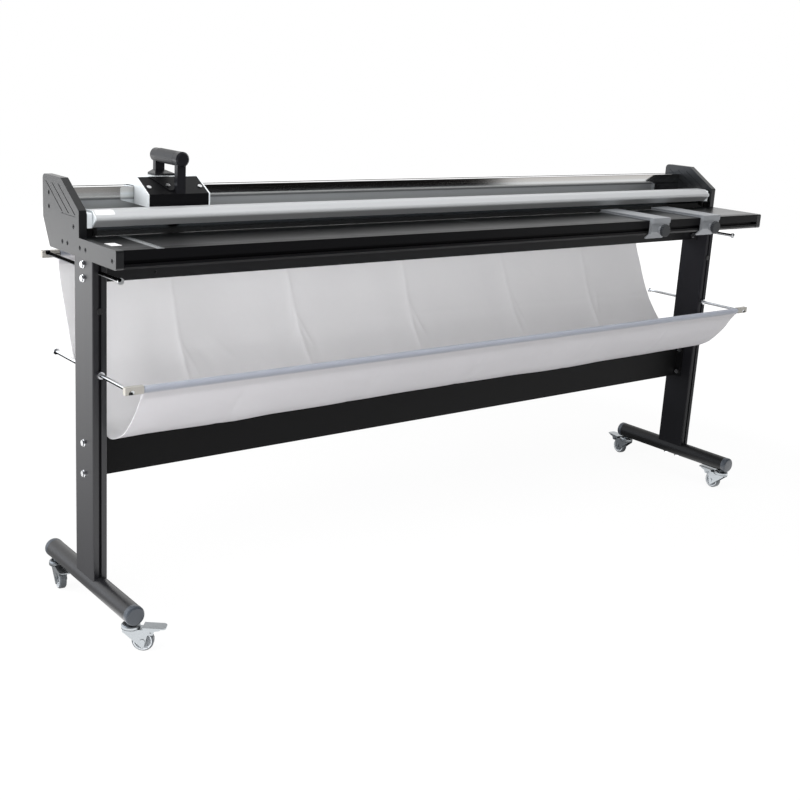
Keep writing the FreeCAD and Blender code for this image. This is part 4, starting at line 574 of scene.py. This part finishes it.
def guide_block(name):
    """Black below a height and beyond a width, silver above and inside it, all a little mottled from
    casting.
    """
    material, tree, place = new_material(name)
    split = add_node(tree, "ShaderNodeSeparateXYZ", links={"Vector": place})
    side = add_node(tree, "ShaderNodeMath", links={0: (split, "X")}, operation="ABSOLUTE")
    inside = add_node(tree, "ShaderNodeMath", {1: GUIDE_INSIDE}, {0: (side, 0)}, operation="LESS_THAN")
    above = add_node(tree, "ShaderNodeMath", {1: GUIDE_BLACK_BELOW}, {0: (split, "Z")},
                     operation="GREATER_THAN")
    silver = add_node(tree, "ShaderNodeMath", links={0: (inside, 0), 1: (above, 0)},
                      operation="MULTIPLY")
    mottle = add_node(tree, "ShaderNodeTexNoise", {"Scale": 400.0, "Detail": 3.0}, {"Vector": place})
    matt = add_node(tree, "ShaderNodeMapRange", {"To Min": 0.5, "To Max": 0.66}, {"Value": (mottle, 0)})
    tone = add_node(tree, "ShaderNodeMix", {"A": linear("#0a0a0b"), "B": linear("#dfe4e7")},
                    {"Factor": (silver, 0)}, data_type="RGBA")
    return give_surface(material, {"Specular IOR Level": 0.15},
                        {"Base Color": (tone, "Result"), "Roughness": (matt, 0)})


wear(["clamp_guides"], guide_block("cast_guide_block"))


def clear_plastic(name):
    """Clear polycarbonate tinted near black, a painted shade of the dark under the clamp, and slightly
    clouded by handling.
    """
    material, tree, place = new_material(name)
    haze = add_node(tree, "ShaderNodeTexNoise", {"Scale": 60.0, "Detail": 3.0}, {"Vector": place})
    matt = add_node(tree, "ShaderNodeMapRange", {"To Min": 0.04, "To Max": 0.14}, {"Value": (haze, 0)})
    return give_surface(material, {"Base Color": linear("#1a1c1e"), "Transmission Weight": 1.0,
                                   "IOR": 1.49}, {"Roughness": (matt, 0)})


wear(["clear_strip"], clear_plastic("polycarbonate_tinted_as_shade"))
pad_rubber = moulded_plastic("black_end_rubber", "#0c0c0d", 0.7)


def rubber_pad(name, side):
    """A block with eased edges that closes the gap between the strip and its guide."""
    middle = [(low + high) / 2 for low, high in PAD_SPANS]
    bpy.ops.object.select_all(action="DESELECT")
    bpy.ops.mesh.primitive_cube_add(size=1, location=(side * -middle[0], middle[1], middle[2]))
    pad = bpy.context.object
    pad.name = name
    pad.scale = [high - low for low, high in PAD_SPANS]
    bpy.ops.object.transform_apply(location=True, rotation=True, scale=True)
    bpy.ops.object.mode_set(mode="EDIT")
    bpy.ops.mesh.select_all(action="SELECT")
    bpy.ops.mesh.bevel(offset=0.0008, segments=2)
    bpy.ops.object.mode_set(mode="OBJECT")
    finish_mesh(pad)
    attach(pad, "clamp")
    pad.data.materials.append(pad_rubber)


rubber_pad("clamp_pad_left", -1)
rubber_pad("clamp_pad_right", 1)


# Labels: blank white vinyl, 0.15 mm thick with rounded corners, one on the table's left end
# and one on the clamp, where it follows the bar's brow.
LABEL_THICK = 0.00015


def white_vinyl(name):
    """Smooth self-adhesive film, slightly dulled by rubbing in patches of about 5 mm."""
    material, tree, place = new_material(name)
    rub = add_node(tree, "ShaderNodeTexNoise", {"Scale": 220.0, "Detail": 4.0}, {"Vector": place})
    matt = add_node(tree, "ShaderNodeMapRange", {"To Min": 0.28, "To Max": 0.48}, {"Value": (rub, 0)})
    tone = add_node(tree, "ShaderNodeMix", {"A": linear("#f4f4f4"), "B": linear("#eaeaec")},
                    {"Factor": (rub, 0)}, data_type="RGBA")
    return give_surface(material, {}, {"Base Color": (tone, "Result"), "Roughness": (matt, 0)})


vinyl = white_vinyl("white_vinyl_label")


def vinyl_label(name, middle, size, carrier, body, cuts):
    """A sheet with rounded corners, cut across so that it can bend, and pressed onto its carrier
    from above."""
    bpy.ops.object.select_all(action="DESELECT")
    bpy.ops.mesh.primitive_plane_add(size=1, location=middle)
    label = bpy.context.object
    label.name = name
    label.scale = (size[0], size[1], 1)
    bpy.ops.object.transform_apply(location=True, rotation=True, scale=True)
    bpy.ops.object.mode_set(mode="EDIT")
    bpy.ops.mesh.select_all(action="SELECT")
    bpy.ops.mesh.bevel(offset=0.002, segments=4, affect="VERTICES")
    for cut in range(1, cuts):
        where = middle[1] - size[1] / 2 + size[1] * cut / cuts
        bpy.ops.mesh.select_all(action="SELECT")
        bpy.ops.mesh.bisect(plane_co=(0, where, 0), plane_no=(0, 1, 0))
    bpy.ops.object.mode_set(mode="OBJECT")
    press = {"target": nodes[carrier], "wrap_method": "PROJECT", "use_project_z": True,
             "use_negative_direction": True, "offset": 0.00003}
    finish_mesh(label, ("SHRINKWRAP", press), ("SOLIDIFY", {"thickness": LABEL_THICK, "offset": 1.0}))
    label.data.materials.append(vinyl)
    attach(label, body)


vinyl_label("table_label", (-1.0688, -0.1235, 0.908), (0.0245, 0.038), "table_top", "stand", 1)
vinyl_label("clamp_label", (-1.0360, -0.0045, 0.964), (0.046, 0.028), "clamp_tube", "clamp", 9)


# Cutter head: silver-painted side plates on an inner block, with a black cover over the round
# blade of ground steel, and a handle of black posts and a dark grey rubber grip.
def silver_paint(name, colour):
    """Metallic paint, whose flakes catch the light unevenly. They are drawn at half a millimetre,
    far coarser than real, so that they show."""
    material, tree, place = new_material(name)
    flakes = add_node(tree, "ShaderNodeTexVoronoi", {"Scale": 1800.0}, {"Vector": place})
    matt = add_node(tree, "ShaderNodeMapRange", {"To Min": 0.42, "To Max": 0.56},
                    {"Value": (flakes, "Distance")})
    tone = mottled(tree, colour, (flakes, "Distance"), 0.92, 1.05)
    return give_surface(material, {"Metallic": 0.3}, {"Base Color": tone, "Roughness": (matt, 0)})


wear(["head_plate_left", "head_plate_right", "head_carriage", "clamp_end_caps"],
     silver_paint("silver_painted_steel", "#f4f9fc"))
wear(["head_cover"], powder_coat("black_cover_coat", "#0b0b0d", "#131315", 0.36, 0.15))
wear(["cover_screws"], bright_zinc)
wear(["rotary_blade", "blade_axle", "blade_spring"], ground_steel)
wear(["blade_hub"], black_abs)
wear(["glide_pads"], moulded_plastic("slide_plastic", "#d8d8d2", 0.4))
wear(["handle_bracket"], powder_coat("satin_black_handle", "#161619", "#1f1f23", 0.3, 0.3))
wear(["handle_grip"], moulded_plastic("grey_grip_rubber", "#1f1f21", 0.5, grain=700.0))


# Paper stops: aluminium arms and clamps, anodised light grey, that slide along the table's
# front edge and are held there by knobs of dark grey moulded plastic.
wear(["stop_arm_1", "stop_arm_2", "stop_bracket_1", "stop_bracket_2"],
     drawn_aluminium("grey_anodised_aluminium", "#94979b", 0.45))
wear(["stop_knob_1", "stop_knob_2"], moulded_plastic("moulded_grey_knob", "#2a2c2f", 0.4))


# Catcher frame: zinc-plated rods through the legs with collars and moulded clips, which carry
# the two bars of the sheet.
ROD_SIDE = 1.067
ROD_HEIGHTS = (0.597, 0.833)
ROD_BORE = 0.0042
HOLE_SHADE_REACH = 0.0062
SHADED_BEHIND = 0.05
SHADED_ABOVE = 0.7


def near_rods(tree, split, reach):
    """1 where a point is nearer to a rod's axis than the reach, otherwise 0."""
    side = add_node(tree, "ShaderNodeMath", links={0: (split, "X")}, operation="ABSOLUTE")
    spot = add_node(tree, "ShaderNodeCombineXYZ", links={"X": (side, 0), "Y": (split, "Z")})
    near = []
    for height in ROD_HEIGHTS:
        off = add_node(tree, "ShaderNodeVectorMath", {1: (ROD_SIDE, height, 0.0)}, {0: (spot, 0)},
                       operation="DISTANCE")
        near.append(add_node(tree, "ShaderNodeMath", {1: reach}, {0: (off, "Value")},
                             operation="LESS_THAN"))
    lower, upper = near
    return add_node(tree, "ShaderNodeMath", links={0: (lower, 0), 1: (upper, 0)}, operation="MAXIMUM")


def rod_tube(name):
    """Bright zinc over a rod whose ends are painted black within the bore's radius, as painted
    shade inside an open tube. Behind and above a line, under the table, it is rougher and its
    tone darker, which is painted shade of the table.
    """
    material, tree, place = new_material(name)
    split = add_node(tree, "ShaderNodeSeparateXYZ", links={"Vector": place})
    # Painted shade: the ends are black within the bore's radius, as inside an open tube.
    bores = near_rods(tree, split, ROD_BORE)
    # Painted shade: behind and above these limits, under the table, the tone is darker.
    behind = add_node(tree, "ShaderNodeMath", {1: SHADED_BEHIND}, {0: (split, "Y")},
                      operation="GREATER_THAN")
    above = add_node(tree, "ShaderNodeMath", {1: SHADED_ABOVE}, {0: (split, "Z")},
                     operation="GREATER_THAN")
    dull = add_node(tree, "ShaderNodeMath", links={0: (behind, 0), 1: (above, 0)}, operation="MULTIPLY")
    streak = add_node(tree, "ShaderNodeTexNoise", {"Scale": 180.0, "Detail": 3.0}, {"Vector": place})
    shine = add_node(tree, "ShaderNodeMapRange", {"To Min": 0.2, "To Max": 0.4}, {"Value": (streak, 0)})
    shine = add_node(tree, "ShaderNodeMath", {1: 0.5}, {0: (dull, 0), 2: (shine, 0)},
                     operation="MULTIPLY_ADD")
    matt = add_node(tree, "ShaderNodeMath", links={0: (shine, 0), 1: (bores, 0)}, operation="MAXIMUM")
    tone = add_node(tree, "ShaderNodeMix", {"A": linear("#eceef0"), "B": linear("#a2a3a6")},
                    {"Factor": (dull, 0)}, data_type="RGBA")
    tone = add_node(tree, "ShaderNodeMix", {"B": linear("#060606")},
                    {"Factor": (bores, 0), "A": (tone, "Result")}, data_type="RGBA")
    return give_surface(material, {"Metallic": 1.0},
                        {"Base Color": (tone, "Result"), "Roughness": (matt, 0)})


wear(["catcher_rods"], rod_tube("zinc_plated_rod_tube"))
wear(["rod_collars"], bright_zinc)
wear(["front_bar"], satin)
wear(["rear_bar"], plated_steel("blackened_steel", "#1c1c1e", 0.35))


def clip_plastic(name):
    """Warm grey moulded plastic, painted black round each rod as the shade of the hole it passes
    through. Its grain is drawn at 0.7 mm so that it shows."""
    material, tree, place = new_material(name)
    split = add_node(tree, "ShaderNodeSeparateXYZ", links={"Vector": place})
    painted_hole_shade = near_rods(tree, split, HOLE_SHADE_REACH)
    grain = add_node(tree, "ShaderNodeTexNoise", {"Scale": 1400.0, "Detail": 2.0}, {"Vector": place})
    tone = add_node(tree, "ShaderNodeMix", {"A": linear("#a5a29c"), "B": linear("#0a0a0a")},
                    {"Factor": (painted_hole_shade, 0)}, data_type="RGBA")
    finish = textured(tree, (grain, 0), 0.15, 0.0001, 0.38, 0.5)
    return give_surface(material, {}, {"Base Color": (tone, "Result"), **finish})


wear(["rod_clips"], clip_plastic("warm_grey_clip_plastic"))


# Catcher sheet: one length of white coated cloth that hangs from the rear bar, lies over the
# lower beam and comes up to the front bar, and is sewn back round each bar in a hem. It was
# folded for packing, which left creases about 385 mm apart and one lengthwise.
CLOTH_THICK = 0.0012
HALF_CLOTH = 1.0355

# The sheet's line from the side, as (y, z): the rear hem, the hanging part, the front hem.
REAR_HEM = [(0.2405, 0.8010), (0.2401, 0.8080), (0.2370, 0.8148), (0.2300, 0.8215), (0.2275, 0.8272),
            (0.2290, 0.8328), (0.2338, 0.8358), (0.2388, 0.8342), (0.2418, 0.8300)]
CLOTH_LINE = [(0.2428, 0.8240), (0.2434, 0.8140), (0.2425, 0.7980), (0.2310, 0.7600), (0.2170, 0.7230),
              (0.2020, 0.6900), (0.1880, 0.6550), (0.1730, 0.6220), (0.1570, 0.5910), (0.1390, 0.5640),
              (0.0980, 0.5140), (0.0550, 0.4740), (0.0120, 0.4506), (-0.0320, 0.4482), (-0.0720, 0.4590),
              (-0.1150, 0.4840), (-0.1590, 0.5320), (-0.1840, 0.5700)]
FRONT_HEM = [(-0.1918, 0.5805), (-0.1998, 0.5900), (-0.2058, 0.5958), (-0.2085, 0.6015), (-0.2074, 0.6072),
             (-0.2030, 0.6096), (-0.1983, 0.6086), (-0.1957, 0.6043), (-0.1953, 0.5985), (-0.1938, 0.5920),
             (-0.1902, 0.5850), (-0.1862, 0.5785)]

# How far the lower edge hangs below that line, as (x, millimetres), where the creases start, and
# the lesser folds, as (x, way down, slant, length, width, height).
SAG = ((-1.030, -4.5), (-0.950, -3.4), (-0.875, -4.5), (-0.794, -6.2), (-0.710, -6.7), (-0.624, -4.0),
       (-0.534, -4.2), (-0.440, -3.3), (-0.345, -1.4), (-0.245, 0.1), (-0.142, 0.1), (-0.030, 0.8),
       (0.078, -0.1), (0.194, -0.8), (0.316, -2.5), (0.442, -3.0), (0.573, 1.0), (0.800, 2.0), (1.035, 3.0))
CREASES = (-0.750, -0.388, 0.003, 0.405, 0.752)
FOLDS = ((-0.372, 0.245, 0.35, 0.05, 0.010, 0.0035), (-0.345, 0.300, 0.10, 0.05, 0.014, -0.0040),
         (-0.395, 0.150, -0.12, 0.06, 0.008, 0.0020), (-0.735, 0.300, 0.25, 0.05, 0.012, 0.0038),
         (-0.690, 0.285, 0.55, 0.04, 0.016, -0.0026), (-0.640, 0.265, 0.70, 0.05, 0.018, 0.0022),
         (0.020, 0.255, 0.30, 0.06, 0.010, 0.0034), (0.052, 0.300, -0.10, 0.05, 0.014, -0.0036),
         (0.425, 0.250, 0.25, 0.06, 0.010, 0.0030), (0.300, 0.210, 0.90, 0.05, 0.014, 0.0016),
         (-0.180, 0.230, -0.80, 0.05, 0.014, 0.0016), (0.775, 0.270, -0.30, 0.05, 0.012, 0.0030))

# Steps between two points of the line, the mesh's columns, its rows in each part, the line's
# lowest height and the height over it that hangs, and the beam's front edge.
LINE_STEPS = 24
COLUMNS = 200
REAR_ROWS, HANGING_ROWS, FRONT_ROWS = 26, 118, 27
LOWEST, HANGING = 0.448, 0.09
BEAM_EDGE = 0.004


def smooth_line(points):
    """A fine smooth line through the given points, and how far along it each point lies."""
    points = np.array(points, float)
    padded = np.vstack([2 * points[0] - points[1], points, 2 * points[-1] - points[-2]])
    fine = []
    for a, b, c, d in zip(padded[:-3], padded[1:-2], padded[2:-1], padded[3:]):
        for t in np.linspace(0, 1, LINE_STEPS, endpoint=False):
            fine.append(0.5 * (2 * b + (c - a) * t + (2 * a - 5 * b + 4 * c - d) * t ** 2
                               + (3 * b - a - 3 * c + d) * t ** 3))
    fine = np.array(fine + [points[-1]])
    run = np.concatenate([[0], np.cumsum(np.linalg.norm(np.diff(fine, axis=0), axis=1))])
    return fine, run


def bump_at(value, middle, width):
    """A smooth hill of height 1 and the given half width."""
    return np.exp(-((value - middle) / width) ** 2)


def cloth_relief(x, run, last):
    """How far the cloth stands off its mean line towards its inner side, in metres."""
    slack = np.clip((run - 0.05) / 0.2, 0, 1) * np.clip((0.46 - run) / 0.08, 0, 1)
    lift = np.zeros_like(x)
    for order, middle in enumerate(CREASES):
        lean = middle + (run - 0.2) * (0.03 if order % 2 else -0.05)
        side = np.abs(x - lean)
        sharp = np.exp(-side / 0.010) * (0.0017 + 0.0030 * slack)
        hollow = -0.0022 * bump_at(x, lean - 0.055, 0.035) * slack
        swell = 0.0018 * bump_at(x, lean + 0.06, 0.045) * slack
        lift += sharp + hollow + swell
    for middle, down, tilt, length, width, height in FOLDS:
        dx, dr = x - middle, run - down
        along, off = dr * np.cos(tilt) + dx * np.sin(tilt), dx * np.cos(tilt) - dr * np.sin(tilt)
        lift += height * np.exp(-np.abs(off) / width - (along / length) ** 4)
    waves = (np.sin(x * 17 + 1.3 + run * 6) * 0.0009 + np.sin(x * 31 - run * 11 + 0.4) * 0.0006
             + np.sin(x * 7.3 - run * 4 + 2.0) * 0.0016)
    lift += waves * (0.35 + slack)
    across = np.exp(-np.abs(run - 0.232 - 0.02 * x) / 0.006) * 0.0011
    lift += across * np.clip((x + 0.25) / 0.25, 0.15, 1)
    ends = np.clip(run / 0.04, 0, 1) * np.clip((last - run) / 0.05, 0, 1)
    resting = 1 - bump_at(run, 0.475, 0.045) * 0.85
    return lift * ends * resting


def lay_cloth():
    """The sheet as one surface with its flat place in a UV map. Returns it, where the hanging part
    starts and ends along it, and its whole length."""
    even = np.linspace(-HALF_CLOTH, HALF_CLOTH, COLUMNS)
    extra = [c + d for c in CREASES for d in np.linspace(-0.03, 0.03, 13)]
    x = np.unique(np.round(np.concatenate([even, extra]), 4))
    fine, fine_run = smooth_line(REAR_HEM + CLOTH_LINE + FRONT_HEM)
    first = fine_run[len(REAR_HEM) * LINE_STEPS]
    last = fine_run[(len(REAR_HEM) + len(CLOTH_LINE) - 1) * LINE_STEPS]
    steps = np.concatenate([np.linspace(0, first, REAR_ROWS), np.linspace(first, last, HANGING_ROWS)[1:],
                            np.linspace(last, fine_run[-1], FRONT_ROWS)[1:]])
    line = np.stack([np.interp(steps, fine_run, fine[:, k]) for k in range(2)], 1)
    grid_x, grid_run = np.meshgrid(x, steps)
    along = np.gradient(line, steps, axis=0)
    along /= np.linalg.norm(along, axis=1)[:, None]
    inner_y, inner_z = along[:, 1][:, None], -along[:, 0][:, None]
    share = np.clip(1 - (line[:, 1] - LOWEST) / HANGING, 0, 1)
    sag = np.interp(x, [place for place, _ in SAG], [drop for _, drop in SAG]) / 1000
    off_beam = np.clip((BEAM_EDGE - line[:, 0]) / 0.04, 0, 1)[:, None]
    sag_grid = share[:, None] * (np.minimum(sag, 0) * off_beam ** 2 + np.maximum(sag, 0))
    main = np.clip(grid_run - first, 0, last - first)
    relief = cloth_relief(grid_x, main, last - first)
    y = line[:, 0][:, None] + relief * inner_y
    z = line[:, 1][:, None] + sag_grid + relief * inner_z
    points = np.stack([grid_x, y, z], -1).reshape(-1, 3)
    rows, columns = grid_x.shape
    start = (np.arange(rows - 1)[:, None] * columns + np.arange(columns - 1)).ravel()
    faces = np.stack([start, start + 1, start + columns + 1, start + columns], 1)
    mesh = bpy.data.meshes.new("catcher_cloth")
    mesh.from_pydata(points.tolist(), [], faces.tolist())
    weave = mesh.uv_layers.new(name="weave")
    corners = np.zeros(len(mesh.loops), int)
    mesh.loops.foreach_get("vertex_index", corners)
    flat = np.stack([grid_x.ravel(), grid_run.ravel()], 1)[corners]
    weave.data.foreach_set("uv", flat.ravel())
    piece = bpy.data.objects.new("catcher_cloth", mesh)
    scene.collection.objects.link(piece)
    return piece, first, last, fine_run[-1]


cloth, hem_first, hem_last, cloth_length = lay_cloth()
finish_mesh(cloth, ("SOLIDIFY", {"thickness": CLOTH_THICK, "offset": 0}))


# Where the double cloth round each bar has its middle and its seam, from the hanging part's ends,
# how far it reaches, and the seams' stitch spacing, thread length and half width.
HEMS = ((-0.016, -0.045), (0.048, 0.013))
DOUBLE_TO, DOUBLE_FULL = 0.019, 0.012
STITCH_SPACING, STITCH_LONG, STITCH_HALF = 0.0062, 0.0040, 0.0007


def coated_cloth(name, colour, roughness):
    """White polyester with a soft coating: satin sheen and faint clouding. Where it faces down and
    at its edges it is greyer, which is painted shade. The weave is drawn at 1.5 mm, coarser than
    real, so that it shows. Over the bars the cloth is double, with stitched hems, and its bluish
    grey there is painted: the bar seen through the cloth, and the hem's shade."""
    material, tree, place = new_material(name)
    flat = add_node(tree, "ShaderNodeUVMap", uv_map="weave")
    threads, picks = (add_node(tree, "ShaderNodeTexWave", {"Scale": 210.0, "Distortion": 1.2},
                               {"Vector": (flat, 0)}, bands_direction=run) for run in "XY")
    cross = add_node(tree, "ShaderNodeMath", links={0: (threads, "Fac"), 1: (picks, "Fac")},
                     operation="MAXIMUM")
    cockle = add_node(tree, "ShaderNodeTexNoise", {"Scale": 38.0, "Detail": 4.0}, {"Vector": (flat, 0)})
    height = add_node(tree, "ShaderNodeMath", {1: 0.12}, {0: (cross, 0), 2: (cockle, 0)},
                      operation="MULTIPLY_ADD")
    split = add_node(tree, "ShaderNodeSeparateXYZ", links={"Vector": (flat, 0)})
    spot = add_node(tree, "ShaderNodeMath", {1: STITCH_SPACING}, {0: (split, "X")}, operation="PINGPONG")
    thread = add_node(tree, "ShaderNodeMath", {1: STITCH_LONG}, {0: (spot, 0)}, operation="LESS_THAN")
    doubled, sewn = [], []
    for edge, (middle, seam) in zip((hem_first, hem_last), HEMS):
        off = add_node(tree, "ShaderNodeMath", {1: edge + middle}, {0: (split, "Y")},
                       operation="SUBTRACT")
        off = add_node(tree, "ShaderNodeMath", links={0: (off, 0)}, operation="ABSOLUTE")
        doubled.append(add_node(tree, "ShaderNodeMapRange",
                                {"From Min": DOUBLE_TO, "From Max": DOUBLE_FULL}, {"Value": (off, 0)}))
        gap = add_node(tree, "ShaderNodeMath", {1: edge + seam, 2: STITCH_HALF}, {0: (split, "Y")},
                       operation="COMPARE")
        sewn.append(add_node(tree, "ShaderNodeMath", links={0: (gap, 0), 1: (thread, 0)},
                             operation="MULTIPLY"))
    double, stitches = (add_node(tree, "ShaderNodeMath", links={0: (rear, 0), 1: (front, 0)},
                                 operation="MAXIMUM") for rear, front in (doubled, sewn))
    height = add_node(tree, "ShaderNodeMath", {1: 0.8}, {0: (stitches, 0), 2: (height, 0)},
                      operation="MULTIPLY_ADD")
    relief = add_node(tree, "ShaderNodeBump", {"Strength": 0.35, "Distance": 0.0009},
                      {"Height": (height, 0)})
    cloud = add_node(tree, "ShaderNodeTexNoise", {"Scale": 3.5, "Detail": 5.0}, {"Vector": (flat, 0)})
    tone = add_node(tree, "ShaderNodeMix", {"A": linear(colour), "B": linear("#e6e5e8")},
                    {"Factor": (cloud, 0)}, data_type="RGBA")
    faces = add_node(tree, "ShaderNodeNewGeometry")
    facing = add_node(tree, "ShaderNodeSeparateXYZ", links={"Vector": (faces, "Normal")})
    # Painted shade: faces that look down, and the edges, are greyer.
    painted_shade_side = add_node(tree, "ShaderNodeMapRange", {"From Min": 0.08, "From Max": -0.08},
                     {"Value": (facing, "Z")})
    rim = add_node(tree, "ShaderNodeMath", links={0: (facing, "X")}, operation="ABSOLUTE")
    rim = add_node(tree, "ShaderNodeMath", {1: 0.7}, {0: (rim, 0)}, operation="GREATER_THAN")
    painted_shade_side = add_node(tree, "ShaderNodeMath", links={0: (painted_shade_side, 0), 1: (rim, 0)}, operation="MAXIMUM")
    # The bluish grey over the bars is painted, for the bar seen through the double cloth.
    for colour, where in (("#dad8dc", painted_shade_side), ("#a1a5b0", double)):
        tone = add_node(tree, "ShaderNodeMix", {"B": linear(colour)},
                        {"Factor": (where, 0), "A": (tone, "Result")}, data_type="RGBA")
    return give_surface(material, {"Roughness": roughness, "Sheen Weight": 0.12, "Subsurface Weight": 0.6,
                                   "Subsurface Radius": (1.0, 1.0, 1.0), "Subsurface Scale": 0.004},
                        {"Base Color": (tone, "Result"), "Normal": (relief, 0)})


cloth.data.materials.append(coated_cloth("coated_polyester_cloth", "#f1f0f2", 0.55))
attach(cloth, "stand")
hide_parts("catcher_sheet")
